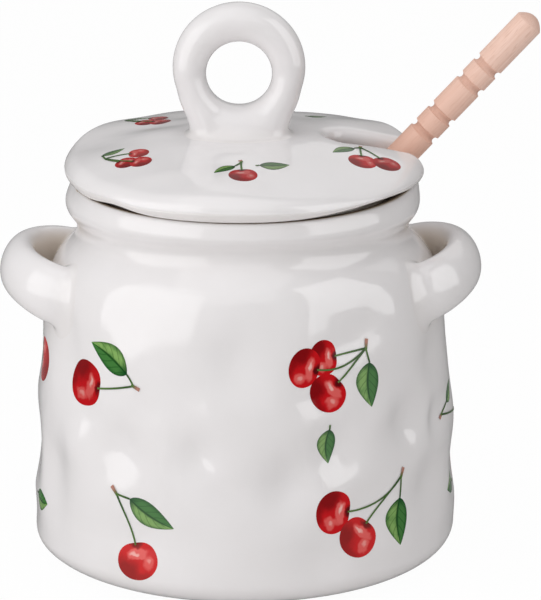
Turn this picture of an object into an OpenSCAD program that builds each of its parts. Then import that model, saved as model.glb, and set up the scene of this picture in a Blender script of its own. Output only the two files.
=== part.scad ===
// Ceramic honey jar with two ear handles, a notched lid with a ring knob, and a wooden dipper
// Millimetres. The origin is on the standing plane under the middle of the jar, +Z is up
// and the dipper leans out to +X. The front is -Y.

/* [Jar] */
// Widest diameter, low on the belly
jar_d = 123.4; // [112:0.2:134]
// Height to the top of the rim
jar_h = 112.6; // [106:0.2:126]
// How much narrower the belly is where the shoulder begins
belly_taper = 5.4; // [0:0.2:10]
// Height at which the shoulder begins
shoulder_z = 66; // [56:1:72]
// Height of the hollow sweep from the shoulder up to the groove under the rim
neck_sweep = 7.6; // [6:0.2:10]
// Outside diameter of the groove under the rim
neck_d = 96.6; // [94:0.2:99]
// Outside diameter of the rim bead
rim_d = 103.2; // [101:0.2:108]
// Height of the rim bead above the groove
rim_h = 14.2; // [11:0.1:16]
// How much higher the groove sits in front
front_rise = 4; // [0:0.1:5]
// Diameter of the mouth
mouth_d = 90.8; // [87:0.2:92]
// Radius of the rounded lip inside the mouth
lip_r = 3.2; // [2.4:0.1:4]
// Width of the flat land on top of the rim
land_w = 0.9; // [0.5:0.1:1.4]
// Thickness of the wall
wall_t = 4.8; // [4:0.1:6]
// Thickness of the floor
floor_t = 8; // [6:0.5:11]
// How far the rounded heel draws in under the jar
heel_w = 17; // [10:0.5:20]
// Height of the rounded heel
heel_h = 9; // [6:0.5:12]
// Radius of the corner between floor and wall, inside
corner_r = 6; // [3:0.5:6.5]
// Diameter of the hollow under the foot
foot_hollow_d = 78; // [60:1:82]
// Depth of the hollow under the foot
foot_hollow = 1.2; // [0.6:0.1:2]
// Depth of the deepest dent pressed into the wall
dent_depth = 2.4; // [0:0.1:2.6]

/* [Ear handles] */
// Distance between the two roots of an ear
ear_span = 43; // [38:1:48]
// How far the middle of the loop stands out past its roots
ear_reach = 15.5; // [14:0.5:20]
// How much shorter the right loop is than the left one
right_trim = 1.4; // [0:0.1:2]
// How much higher the right loop sits
right_up = 1.2; // [0:0.1:2]
// How far the loop's roots lie inside the wall
ear_bury = 2.7; // [0:0.1:4]
// How much the tip of the loop rises above its roots
ear_rise = 5; // [0:0.5:8]
// How far the roots lie below the top of the rim
ear_drop = 30.2; // [27:0.2:36]
// Thickness of the strap, seen from above
ear_t = 9.8; // [7:0.2:11]
// Height of the strap, seen from the side
ear_h = 15.6; // [12:0.2:18]

/* [Lid] */
// Diameter over the lid's wavy edge
lid_d = 104.8; // [103:0.2:110]
// Thickness of the rounded edge
edge_t = 7.4; // [6:0.2:9]
// Rise of the dome above the edge
lid_dome = 5.9; // [3:0.1:9]
// Thickness of the dome
lid_t = 5.5; // [4:0.1:6.5]
// Diameter of the flat land under the knob
knob_land_d = 32; // [31:0.5:38]
// Depth of the flange that locates the lid in the mouth
flange_h = 6; // [4:0.2:8]
// Thickness of the flange
flange_t = 3.5; // [2.5:0.1:5]
// Clearance between the flange and the mouth
flange_gap = 1.2; // [0.6:0.1:2]
// Gap between the lid and the rim that carries it
seat_gap = 0.1; // [0.05:0.05:0.3]
// Height of the hand-made waves in the edge
edge_wave = 1; // [0:0.1:1.4]
// How much the edge rises towards its highest side
edge_tilt = 1.7; // [0:0.1:2]
// Clearance on each side of the stick in the notch
notch_gap = 2; // [1.5:0.1:3]
// Length of the notch inward of the stick
notch_past = 6; // [3:0.5:9]
// Radius of the corners where the notch opens
notch_corner = 4; // [2:0.5:6]

/* [Ring knob] */
// Outside diameter of the ring
knob_d = 38.2; // [35:0.2:42]
// Diameter of the finger hole
knob_hole = 19; // [16:0.2:22]
// Height of the knob above its land
knob_h = 39; // [37:0.5:44]
// How far the hole sits below the middle of the ring
hole_drop = 1.9; // [0:0.1:2.5]
// Thickness of the ring, front to back
ring_t = 10.4; // [8:0.2:12]
// Width of the foot on the lid
foot_w = 27.5; // [22:0.5:28]
// Thickness of the foot, front to back
foot_t = 15; // [12:0.5:18]
// How far the knob stands left of the lid's middle
knob_left = 1.2; // [0:0.1:1.5]

/* [Dipper] */
// Diameter of the stick
stick_d = 8.6; // [6:0.2:9]
// Length of the dipper from end to end
dipper_l = 203.5; // [190:0.5:225]
// Sideways place of the dipper in the jar
dipper_y = 5; // [-8:0.5:8]
// Gap at the rim, the floor and the wall where the dipper rests
rest_gap = 0.25; // [0.15:0.05:0.5]
// Distance of the first groove from the tip
groove_z = 20; // [12:0.2:24]
// Distance between the two grooves of a pair
groove_pair = 7.1; // [5:0.1:9]
// Distance between the pairs of grooves
groove_pitch = 19.3; // [16:0.1:26]
// Width of a groove
groove_w = 2.3; // [1.5:0.1:3]
// Depth of a groove
groove_d = 0.95; // [0.4:0.05:1.2]
// Height of the domed tip
tip_h = 2.5; // [1:0.1:3]
// Length of the head
head_l = 40; // [32:1:46]
// Largest diameter of the head
head_d = 21; // [18:0.5:24]
// Diameter of the head's round lower end
head_end_d = 14; // [14:0.5:17]
// Number of grooves that hold the honey
head_grooves = 5; // [4:1:6]
// Width of a honey groove
honey_w = 2.6; // [1.8:0.1:3]
// Diameter of the core between the head's discs
core_d = 10; // [9.6:0.1:11]
// Diameter of the stick's tenon in the head
tenon_d = 6; // [4:0.1:6.4]
// Length of the tenon
tenon_l = 16; // [10:0.5:22]
// Glue gap around the tenon
glue_gap = 0.05; // [0.02:0.01:0.1]

/* [Hidden] */
$fn = 96;
skin_sides = 64;
strap_sides = 16;
ring_steps = 48;
past = 1;

jar_r = jar_d/2;
shoulder_r = (jar_d - belly_taper)/2;
neck_r = neck_d/2;
rim_r = rim_d/2;
mouth_r = mouth_d/2;
neck_z = jar_h - rim_h;
bead_share = 0.57;
bead_z = neck_z + bead_share*rim_h;
lip_c = mouth_r + lip_r;
land_r = lip_c + land_w;
in_r = jar_r - wall_t;
ear_z = jar_h - ear_drop;

// Dents pressed by hand: turn from +X in degrees, height, half width, share of the full depth
dents = [
    [236, 45, 8.5, 1.0], [256.5, 45, 6.5, 0.8], [268, 73, 9.5, 0.6], [281.5, 37, 8, 0.9], [296, 48, 8, 0.95],
    [291, 64, 8, 0.5], [301, 79, 8, 0.5], [322, 50, 8.5, 1.0], [303, 25, 9, 0.5], [293, 12, 8, 0.55],
    [206, 32, 10, 0.55], [182, 33, 12, 0.85], [212, 66, 9, 0.6], [243, 20, 9, 0.6], [333, 28, 9, 0.6],
    [338, 66, 9, 0.5], [358, 27, 8, 0.44], [20, 55, 10, 0.85], [38, 33, 10, 0.7], [55, 64, 9, 0.75],
    [72, 42, 11, 0.95], [92, 26, 9, 0.6], [100, 62, 10, 0.75], [122, 40, 11, 0.85], [140, 66, 9, 0.6],
    [150, 28, 10, 0.65], [164, 54, 9, 0.65], [182, 14, 14, 0.55], [182, 60, 8, 0.37]
];

lid_r = lid_d/2;
edge_r = edge_t/2;
edge_end = 75;
seat_z = jar_h + seat_gap;
knob_land_r = knob_land_d/2;
dome_r = lid_r - edge_r + edge_r*cos(edge_end);
dome_z = seat_z + edge_r + edge_r*sin(edge_end);
lid_z = dome_z + lid_dome;
dome_power = 1.6;
flange_r = mouth_r - flange_gap;
flange_in_r = flange_r - flange_t;
flange_z = seat_z - flange_h;

stick_r = stick_d/2;
end_r = head_end_d/2;
head_r = head_d/2;
core_r = core_d/2;
head_top = head_l - end_r;
tip_z = dipper_l - end_r;
// The round end lies in the corner of floor and wall, and the stick leans on the rounded lip
end_x = -sqrt(pow(in_r - end_r - rest_gap, 2) - pow(dipper_y, 2));
end_z = floor_t + end_r + rest_gap;
lip_x = sqrt(pow(lip_c, 2) - pow(dipper_y, 2));
lip_z = jar_h - lip_r;
lean = atan2(lip_z - end_z, lip_x - end_x)
    + asin((stick_r + lip_r + rest_gap)/norm([lip_x - end_x, lip_z - end_z]));

notch_w = stick_d + 2*notch_gap;
// Where the stick's underside crosses the bottom of the flange
stick_in_x = end_x + (flange_z - end_z)/tan(lean) - stick_r/sin(lean);
notch_in = norm([stick_in_x, dipper_y]) - notch_past;
notch_turn = asin(dipper_y/(lid_r - notch_w/2));

function mix(a, b, t) = a + (b - a)*t;
function bezier(p, t) =
    pow(1 - t, 3)*p[0] + 3*t*pow(1 - t, 2)*p[1] + 3*t*t*(1 - t)*p[2] + pow(t, 3)*p[3];

// Rings of n points each, joined into one closed skin with a cap at each end
function side_faces(i, k, n) =
    [for (j = [0:n - 1])
        let (next = (j + 1)%n)
        each [[i*n + j, k*n + j, k*n + next], [i*n + j, k*n + next, i*n + next]]];
function skin_faces(m, n) = concat(
    [[for (j = [0:n - 1]) j]],
    [for (i = [0:m - 2]) each side_faces(i, i + 1, n)],
    [[for (j = [n - 1:-1:0]) (m - 1)*n + j]]
);
// The same for rings that close on themselves
function loop_faces(m, n) = [for (i = [0:m - 1]) each side_faces(i, (i + 1)%m, n)];

// Outline of the jar's outside from the foot to the land on the rim. The shoulder rounds over,
// turns at the angle below into the hollow sweep of the neck, and this runs into the rim bead
taper_power = 2.2;
turn_share = 0.47;
turn_angle = 51;
turn_low = 5.8;
turn_high = 4.3;
neck_soft = 3.7;
bead_soft = [0.36, 0.5];
turn_r = mix(neck_r, shoulder_r, turn_share);
turn_z = neck_z - neck_sweep;
shoulder_lean = 0.3*belly_taper/2;
shoulder_curve = [
    [shoulder_r, shoulder_z],
    [shoulder_r - shoulder_lean, mix(shoulder_z, turn_z, 0.545)],
    [turn_r + turn_low*cos(turn_angle), turn_z - turn_low*sin(turn_angle)],
    [turn_r, turn_z]
];
neck_curve = [
    [turn_r, turn_z],
    [turn_r - turn_high*cos(turn_angle), turn_z + turn_high*sin(turn_angle)],
    [neck_r, neck_z - neck_soft],
    [neck_r, neck_z]
];
bead_curve = [
    [neck_r, neck_z],
    [neck_r, mix(neck_z, bead_z, bead_soft[0])],
    [rim_r, mix(bead_z, neck_z, bead_soft[1])],
    [rim_r, bead_z]
];
jar_outline = concat(
    [for (a = [-90:15:0]) [jar_r - heel_w + heel_w*cos(a), heel_h + heel_h*sin(a)]],
    [for (i = [1:8]) [mix(jar_r, shoulder_r, pow(i/8, taper_power)), mix(heel_h, shoulder_z, i/8)]],
    [for (i = [1:7]) bezier(shoulder_curve, i/7)],
    [for (i = [1:4]) bezier(neck_curve, i/4)],
    [for (i = [1:5]) bezier(bead_curve, i/5)],
    [for (a = [18:18:90]) [land_r + (rim_r - land_r)*cos(a), bead_z + (jar_h - bead_z)*sin(a)]]
);

// Radius of the smooth outside at a height
function skin_r(z) = lookup(z, [for (p = jar_outline) [p[1], p[0]]]);
// Depth of the dents at a turn and a height, faded out towards the heel and the shoulder
function away(a, b) = abs((a - b + 540)%360 - 180);
fade_low = 4;
fade_high = shoulder_z + 24;
fade_len = 14;
function dent_fade(z) = min(1, max(0, min(z - fade_low, fade_high - z)/fade_len));
function dent(turn, z) = dent_depth*dent_fade(z)*max([
    for (d = dents) d[3]*exp(-pow(away(turn, d[0])*PI/180*jar_r/d[2], 2) - pow((z - d[1])/d[2], 2))
]);

// The shoulder and the groove climb towards the front, the top of the rim stays level
rim_level = [1, 12];
function soft_step(a, b, z) = let (t = min(1, max(0, (z - a)/(b - a)))) t*t*(3 - 2*t);
function rise(turn, z) = front_rise*pow((1 - sin(turn))/2, 3)
    *soft_step(shoulder_z, turn_z, z)*soft_step(jar_h - rim_level[0], jar_h - rim_level[1], z);

// The jar, or a band of it, as a solid lump with its dented outside
shoulder_band = [for (p = jar_outline) if (p[1] >= shoulder_z && p[1] <= neck_z) p];
module jar_lump(outline = jar_outline) {
    rings = [
        for (p = outline, j = [0:skin_sides - 1])
            let (turn = 360*j/skin_sides, r = p[0] - dent(turn, p[1]))
            [r*cos(turn), r*sin(turn), p[1] + rise(turn, p[1])]
    ];
    polyhedron(rings, skin_faces(len(outline), skin_sides), convexity = 6);
}

// The space inside, with the rounded lip of the mouth
module jar_space() {
    neck_in_r = neck_r - wall_t;
    inside_curve = [
        [shoulder_r - wall_t, shoulder_z],
        [shoulder_r - shoulder_lean - wall_t, mix(shoulder_z, neck_z, 0.45)],
        [mix(neck_in_r, shoulder_r - wall_t, 0.67), neck_z - neck_sweep - wall_t/2],
        [neck_in_r, neck_z - wall_t/2]
    ];
    rotate_extrude()
        polygon(concat(
            [[0, jar_h + past], [0, floor_t]],
            [for (a = [-90:15:0])
                [in_r - corner_r + corner_r*cos(a), floor_t + corner_r + corner_r*sin(a)]],
            [for (i = [0:8]) bezier(inside_curve, i/8)],
            [[neck_in_r, neck_z + 1]],
            [for (a = [180:-15:90]) [lip_c + lip_r*cos(a), lip_z + lip_r*sin(a)]],
            [[lip_c, jar_h + past]]
        ));
}

module jar_body() {
    color("#f3f1ed")
        difference() {
            jar_lump();
            jar_space();
            translate([0, 0, -past])
                cylinder(d = foot_hollow_d, h = past + foot_hollow);
        }
}

// One ear: a strap that loops out of the wall and back, rising towards its tip
module ear_strap(reach, root_z) {
    root_x = sqrt(pow(skin_r(root_z), 2) - pow(ear_span/2, 2)) - ear_bury;
    tail = 9;
    root_flare = 0.12;
    up = [-ear_rise, 0, reach]/norm([ear_rise, reach]);
    path = concat(
        [[root_x - tail, -ear_span/2, root_z, -90]],
        [for (a = [-90:9:90])
            [root_x + reach*cos(a), ear_span/2*sin(a), root_z + ear_rise*cos(a), a]],
        [[root_x - tail, ear_span/2, root_z, 90]]
    );
    rings = [
        for (p = path)
            let (
                a = p[3],
                along = [-reach*sin(a), ear_span/2*cos(a), -ear_rise*sin(a)],
                side = cross(up, along/norm(along)),
                flare = 1 + root_flare*pow(abs(sin(a)), 4)
            )
            for (j = [0:strap_sides - 1])
                let (s = 360*j/strap_sides)
                [p[0], p[1], p[2]] + flare*(ear_t/2*cos(s)*side + ear_h/2*sin(s)*up)
    ];
    polyhedron(rings, skin_faces(len(path), strap_sides), convexity = 6);
}

module left_handle() {
    color("#f3f1ed")
        difference() {
            mirror([1, 0, 0])
                ear_strap(ear_reach, ear_z);
            jar_lump(shoulder_band);
        }
}

module right_handle() {
    color("#f3f1ed")
        difference() {
            ear_strap(ear_reach - right_trim, ear_z + right_up);
            jar_lump(shoulder_band);
        }
}

// Height of the lid's dome over a radius
function dome(r) = lid_z - lid_dome*pow(max(0, (r - knob_land_r)/(dome_r - knob_land_r)), dome_power);
function wave(turn) = edge_wave*(0.6*sin(3*turn + 40) + 0.4*sin(5*turn + 150));
// The edge stands highest at the back left and a little low in front
high_side = 125;
front_low = 0.2;
function tilt(turn) = edge_tilt*(1 + cos(turn - high_side))/2 - front_low*edge_wave;
radius_wave = -0.2;
// Turn, spread and height of the hump behind the notch and of the dip at the back left
humps = [[30, 15, 1.9], [127, 13, -1.4]];
function hump(turn, h) = h[2]*exp(-pow(away(turn, h[0])/h[1], 2));
function edge_lift(turn) = wave(turn) + tilt(turn) + edge_wave*(hump(turn, humps[0]) + hump(turn, humps[1]));

// The lid as a solid lump: rows of radius, height and how much of the waves the row takes
module lid_lump() {
    rows = concat(
        [for (a = [-90:16.5:edge_end])
            [lid_r - edge_r + edge_r*cos(a), seat_z + edge_r + edge_r*sin(a), (1 + sin(a))/2]],
        [for (i = [1:7])
            let (t = i/7, r = mix(dome_r, knob_land_r, t))
            [r, dome(r), 1 - t]]
    );
    rings = [
        for (p = rows, j = [0:skin_sides - 1])
            let (turn = 360*j/skin_sides, r = p[0] + radius_wave*wave(turn + 80)*p[0]/lid_r)
            [r*cos(turn), r*sin(turn), p[1] + edge_lift(turn)*p[2]]
    ];
    polyhedron(rings, skin_faces(len(rows), skin_sides), convexity = 6);
}

// The hollow under the dome, inside the flange
module lid_hollow() {
    rotate_extrude()
        polygon(concat(
            [[0, flange_z - past], [0, lid_z - lid_t]],
            [for (i = [0:6]) let (r = mix(knob_land_r, flange_in_r, i/6)) [r, dome(r) - lid_t]],
            [[flange_in_r, flange_z - past]]
        ));
}

// The open notch that the stick passes through, with rounded corners at the edge
module notch_cut() {
    corner_x = lid_r - notch_corner;
    translate([0, 0, flange_z - past])
        linear_extrude(lid_z - flange_z + 2*past) {
            translate([notch_in + notch_w/2, 0])
                circle(d = notch_w);
            translate([notch_in + notch_w/2, -notch_w/2])
                square([lid_d, notch_w]);
            for (side = [-1, 1])
                difference() {
                    translate([corner_x, side > 0 ? 0 : -notch_w/2 - notch_corner])
                        square([lid_d, notch_w/2 + notch_corner]);
                    translate([corner_x, side*(notch_w/2 + notch_corner)])
                        circle(r = notch_corner);
                }
        }
}

module lid() {
    color("#f3f1ed")
        difference() {
            union() {
                lid_lump();
                translate([0, 0, flange_z])
                    cylinder(r = flange_r, h = flange_h + edge_r);
            }
            lid_hollow();
            rotate(notch_turn)
                notch_cut();
        }
}

// The ring knob: rings around the finger hole, from the hole out to the ring's outline or the foot
module lid_knob() {
    ring_r = knob_d/2;
    hole_r = knob_hole/2;
    hole_z = lid_z + knob_h - ring_r - hole_drop;
    below = 3;
    soft = 8;
    function soft_max(u, v) = max(u, v) + pow(max(0, soft - abs(u - v)), 2)/soft/4;
    function ring_out(a) = sqrt(pow(ring_r, 2) - pow(hole_drop*sin(a), 2)) - hole_drop*cos(a);
    function foot_out(a) = cos(a) > 0
        ? min(foot_w/2/max(0.01, abs(sin(a))), (hole_z - lid_z + below)/cos(a))
        : 0;
    function footness(a) = pow(max(0, cos(a)), 3);
    // The turn a is counted from straight down
    rings = [
        for (i = [0:ring_steps - 1])
            let (
                a = 360*i/ring_steps,
                out = soft_max(ring_out(a), foot_out(a)),
                half = (out - hole_r)/2,
                deep = mix(ring_t, foot_t, footness(a))/2,
                blunt = mix(1, 0.8, footness(a))
            )
            for (j = [0:strap_sides - 1])
                let (
                    s = 360*j/strap_sides,
                    r = hole_r + half + half*cos(s),
                    y = deep*sign(sin(s))*pow(abs(sin(s)), blunt)
                )
                [r*sin(a) - knob_left, y, hole_z - r*cos(a)]
    ];
    color("#f3f1ed")
        difference() {
            polyhedron(rings, loop_faces(ring_steps, strap_sides), convexity = 8);
            translate([-knob_d, -knob_d, lid_z - knob_d])
                cube([2*knob_d, 2*knob_d, knob_d]);
        }
}

// The dipper stands on the middle of its round end and leans on the lip of the mouth
module place_dipper() {
    translate([end_x, dipper_y, end_z])
        rotate([0, 90 - lean, 0])
            children();
}

module dipper_stick() {
    groove_tops = [
        for (pair = [1, 0], g = [1, 0]) tip_z - groove_z - pair*groove_pitch - g*groove_pair
    ];
    color("#d8b9a6")
        place_dipper()
            rotate_extrude()
                polygon(concat(
                    [[0, head_top - tenon_l], [tenon_d/2, head_top - tenon_l]],
                    [[tenon_d/2, head_top], [stick_r, head_top]],
                    [for (z = groove_tops, a = [180:-30:0])
                        [stick_r - groove_d*sin(a), z + groove_w/2*cos(a)]],
                    [for (i = [0:5]) [stick_r*(1 - i/5), tip_z - tip_h*pow(1 - i/5, 2)]]
                ));
}

// Outline of the head: a round lower end, a swelling and a taper to the stick
head_wide = 0.4*head_top;
function swell(t) = (1 - cos(180*t))/2;
function head_out(z) =
    z < 0 ? sqrt(max(0, pow(end_r, 2) - z*z)) :
    z < head_wide ? mix(end_r, head_r, swell(z/head_wide)) :
    mix(head_r, core_r + 0.8, swell((z - head_wide)/(head_top - head_wide)));

module dipper_head() {
    pitch = (head_l - end_r)/(head_grooves + 0.5);
    color("#d8b9a6")
        place_dipper()
            difference() {
                rotate_extrude()
                    polygon(concat(
                        [for (a = [-90:15:-30]) [end_r*cos(a), end_r*sin(a)]],
                        [for (g = [0:head_grooves - 1])
                            let (z0 = g*pitch, z1 = z0 + honey_w, z2 = z0 + pitch)
                            each [[head_out(z0), z0], [core_r, z0], [core_r, z1], [head_out(z1), z1],
                                [head_out((z1 + z2)/2), (z1 + z2)/2]]],
                        [[head_out(head_top), head_top], [0, head_top]]
                    ));
                translate([0, 0, head_top - tenon_l])
                    cylinder(d = tenon_d + 2*glue_gap, h = tenon_l + past);
            }
}

jar_body();
left_handle();
right_handle();
lid();
lid_knob();
dipper_stick();
dipper_head();
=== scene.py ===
import math
import random

import bmesh
import bpy
import numpy as np
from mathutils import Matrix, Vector
from mathutils.geometry import delaunay_2d_cdt


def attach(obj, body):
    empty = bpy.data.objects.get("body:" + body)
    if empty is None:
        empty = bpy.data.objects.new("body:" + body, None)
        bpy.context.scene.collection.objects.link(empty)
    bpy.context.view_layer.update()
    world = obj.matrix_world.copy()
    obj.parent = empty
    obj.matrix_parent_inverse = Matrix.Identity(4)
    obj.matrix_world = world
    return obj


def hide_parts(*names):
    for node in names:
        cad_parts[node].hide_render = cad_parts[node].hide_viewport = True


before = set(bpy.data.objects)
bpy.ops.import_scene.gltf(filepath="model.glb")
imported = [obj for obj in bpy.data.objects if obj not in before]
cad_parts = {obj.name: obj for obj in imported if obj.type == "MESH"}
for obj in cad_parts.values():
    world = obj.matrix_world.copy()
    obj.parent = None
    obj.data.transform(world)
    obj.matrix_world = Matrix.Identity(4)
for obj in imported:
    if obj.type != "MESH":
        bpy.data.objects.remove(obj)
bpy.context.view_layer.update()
scene = bpy.context.scene
scene.view_settings.view_transform = "Standard"
mm = 0.001  # shapes are worked out in millimetres, meshes are in metres
print("frame loaded:", sorted(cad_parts))


def addObject(name, data):
    made = bpy.data.objects.new(name, data)
    scene.collection.objects.link(made)
    return made


# camera at the height of someone standing at the table, long lens
shot = {
    "elevation": 16.5,
    "distance": 1.55,
    "target": (0.00787, 0.0, 0.0757),
    "height": 0.175,  # metres from the bottom to the top of the picture
    "sensor": 36.0,
    "clip": 60.0,
}
camera = addObject("camera", bpy.data.cameras.new("camera"))
scene.camera = camera
tilt = math.radians(shot["elevation"])
toCamera = Vector((0, -math.cos(tilt), math.sin(tilt)))
camera.location = Vector(shot["target"]) + shot["distance"] * toCamera
camera.rotation_euler = (math.pi / 2 - tilt, 0, 0)
camera.data.sensor_width = shot["sensor"]
camera.data.lens = shot["sensor"] * shot["distance"] / shot["height"]
camera.data.clip_end = shot["clip"]


def toLinear(text):
    # sRGB hex to the linear colour that a socket takes
    parts = [int(text[i:i + 2], 16) / 255 for i in (1, 3, 5)]
    return [p / 12.92 if p <= 0.04045 else ((p + 0.055) / 1.055) ** 2.4 for p in parts] + [1.0]


def addNode(tree, kind, sockets=None, **settings):
    # one node with its settings, values and links
    node = tree.nodes.new(kind)
    for key, value in settings.items():
        setattr(node, key, value)
    for key, value in (sockets or {}).items():
        if isinstance(value, bpy.types.NodeSocket):
            tree.links.new(value, node.inputs[key])
        else:
            node.inputs[key].default_value = value
    return node


def startMaterial(name):
    material = bpy.data.materials.new(name)
    material.use_nodes = True
    material.node_tree.nodes.clear()
    return material, material.node_tree


def layTints(tree, ground, tints):
    # each tint covers what lies below it as far as its mask goes
    for mask, tint in tints:
        sockets = {0: mask, 6: ground, 7: toLinear(tint)}
        ground = addNode(tree, "ShaderNodeMix", sockets, data_type="RGBA").outputs[2]
    return ground


def finishMaterial(tree, sockets):
    shader = addNode(tree, "ShaderNodeBsdfPrincipled", sockets)
    addNode(tree, "ShaderNodeOutputMaterial", {"Surface": shader.outputs[0]})


def perMetre(sizeInMm):
    return 1 / (sizeInMm * mm)


# Tin-white glaze on earthenware, dipped and fired glossy: soft mirror patches, a cream tint
# where it pools in the hollows, and a faint ripple. The pooled tint is darkened, and is also painted shade
# in the hollows, inside the jar, under the lid and inside the ears' loops
glaze = {
    "white": "#F0EDEE",
    "thin": "#EAE7E7",
    # glaze pooled in the hollows, darkened so that it paints shade too
    "pooledAndShaded": "#C9BBAA",
    "ior": 1.52,
    "roughness": (0.06, 0.12),
    "glossRange": (0.3, 0.7),  # stretch of the mottle over which the roughness changes
    "mottleSize": 16,
    "mottleDetail": 3.0,
    "rippleSize": 7,
    "rippleDetail": 1.0,
    "rippleDepth": 0.08,
    "peelSize": 1.6,
    "peelDetail": 1.0,
    "peelDepth": 0.004,
}
whiteGlaze, tree = startMaterial("tinWhiteGlaze")
place = addNode(tree, "ShaderNodeTexCoord").outputs["Object"]
noises = []
for label in ("mottle", "ripple", "peel"):
    noise = addNode(tree, "ShaderNodeTexNoise", {
        "Vector": place, "Scale": perMetre(glaze[label + "Size"]), "Detail": glaze[label + "Detail"]})
    noises.append(noise.outputs["Fac"])
mottle, ripple, peel = noises
gloss = addNode(tree, "ShaderNodeMapRange", {
    "Value": mottle, "From Min": glaze["glossRange"][0], "From Max": glaze["glossRange"][1],
    "To Min": glaze["roughness"][0], "To Max": glaze["roughness"][1]})
rippleBump = addNode(tree, "ShaderNodeBump", {"Height": ripple, "Distance": glaze["rippleDepth"] * mm})
peelBump = addNode(tree, "ShaderNodeBump", {
    "Height": peel, "Distance": glaze["peelDepth"] * mm, "Normal": rippleBump.outputs[0]})
# pooled glaze and painted shade, 0 to 1 at each point
pooledAndShaded = addNode(tree, "ShaderNodeAttribute", attribute_name="pooledAndShaded").outputs["Fac"]
tinted = layTints(tree, toLinear(glaze["white"]), [(mottle, glaze["thin"]), (pooledAndShaded, glaze["pooledAndShaded"])])
finishMaterial(tree, {
    "Base Color": tinted, "Roughness": gloss.outputs[0], "IOR": glaze["ior"], "Normal": peelBump.outputs[0]})

# Fired earthenware left bare on the foot ring and on the lid's seat: dry, warm, finely gritty, and
# painted dark brown under the lid as shade, so the gap there goes dark
clay = {
    "light": "#E4D9C8",
    "dark": "#C9B9A2",
    # painted shade in the gap under the lid
    "gapShade": "#6E5944",
    "roughness": 0.85,
    "ior": 1.5,
    "gritSize": 0.7,
    "gritDetail": 4.0,
    "gritDepth": 0.05,
}
bareClay, tree = startMaterial("bareEarthenware")
place = addNode(tree, "ShaderNodeTexCoord").outputs["Object"]
grit = addNode(tree, "ShaderNodeTexNoise", {
    "Vector": place, "Scale": perMetre(clay["gritSize"]), "Detail": clay["gritDetail"]}).outputs["Fac"]
gritBump = addNode(tree, "ShaderNodeBump", {"Height": grit, "Distance": clay["gritDepth"] * mm})
# full on the seats under the lid: painted shade
pooledAndShaded = addNode(tree, "ShaderNodeAttribute", attribute_name="pooledAndShaded").outputs["Fac"]
tinted = layTints(tree, toLinear(clay["light"]), [(grit, clay["dark"]), (pooledAndShaded, clay["gapShade"])])
finishMaterial(tree, {
    "Base Color": tinted, "Roughness": clay["roughness"], "IOR": clay["ior"], "Normal": gritBump.outputs[0]})


def mix(a, b, t):
    return a + (b - a) * t


def smooth(low, high, value):
    t = np.clip((value - low) / (high - low), 0, 1)
    return t * t * (3 - 2 * t)


def apart(turn, middle):
    # degrees from the middle to the turn, the short way round
    return (turn - middle + 540) % 360 - 180


def unit(vectors):
    return vectors / np.linalg.norm(vectors, axis=-1, keepdims=True)


def bent(a, b, c, t):
    # from a to c, drawn towards b
    return (1 - t) ** 2 * a + 2 * t * (1 - t) * b + t * t * c


def bezier(points, count):
    a, b, c, d = np.array(points, float)
    t = np.linspace(0, 1, count)[:, None]
    return (1 - t) ** 3 * a + 3 * t * (1 - t) ** 2 * b + 3 * t * t * (1 - t) * c + t ** 3 * d


def arc(cx, cz, rx, rz, start, end, count):
    turn = np.radians(np.linspace(start, end, count))
    return np.stack([cx + rx * np.cos(turn), cz + rz * np.sin(turn)], 1)


def around(count):
    return np.arange(count) * 2 * math.pi / count


def farthest(holds, low, high, halvings=40):
    # how far from low the test still holds
    for step in range(halvings):
        half = (low + high) / 2
        held = holds(half)
        low, high = np.where(held, half, low), np.where(held, high, half)
    return low


def gridFaces(rows, cols, closed=True):
    # faces between rows of points, each row closed into a ring or left open
    faces = []
    for i in range(rows - 1):
        for j in range(cols if closed else cols - 1):
            k = (j + 1) % cols
            faces.append((i * cols + j, i * cols + k, (i + 1) * cols + k, (i + 1) * cols + j))
    return faces


def skin(rings, first=None, last=None):
    # closed rings joined row by row, each end closed by a point or by a flat cap
    rows, cols = rings.shape[:2]
    points = [tuple(p) for p in rings.reshape(-1, 3)]
    faces = gridFaces(rows, cols)
    base = (rows - 1) * cols
    if first is None:
        faces.append(tuple(range(cols - 1, -1, -1)))
    else:
        points.append(tuple(first))
        faces += [(len(points) - 1, (j + 1) % cols, j) for j in range(cols)]
    if last is None:
        faces.append(tuple(base + j for j in range(cols)))
    else:
        points.append(tuple(last))
        faces += [(len(points) - 1, base + j, base + (j + 1) % cols) for j in range(cols)]
    return points, faces


def storeValues(mesh, label, values):
    # whole numbers, measures or vectors, one for each point
    kind = "FLOAT_VECTOR" if values.ndim > 1 else "INT" if values.dtype == np.int32 else "FLOAT"
    layer = mesh.attributes.new(label, kind, "POINT")
    layer.data.foreach_set("vector" if values.ndim > 1 else "value", values.ravel())


def makePiece(name, points, faces, materials, pooledAndShaded=None):
    mesh = bpy.data.meshes.new(name)
    mesh.from_pydata([(x * mm, y * mm, z * mm) for x, y, z in points], [], faces)
    for material in materials:
        mesh.materials.append(material)
    mesh.shade_smooth()
    if pooledAndShaded is not None:
        storeValues(mesh, "pooledAndShaded", np.asarray(pooledAndShaded, np.float32))
    return addObject(name, mesh)


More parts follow.
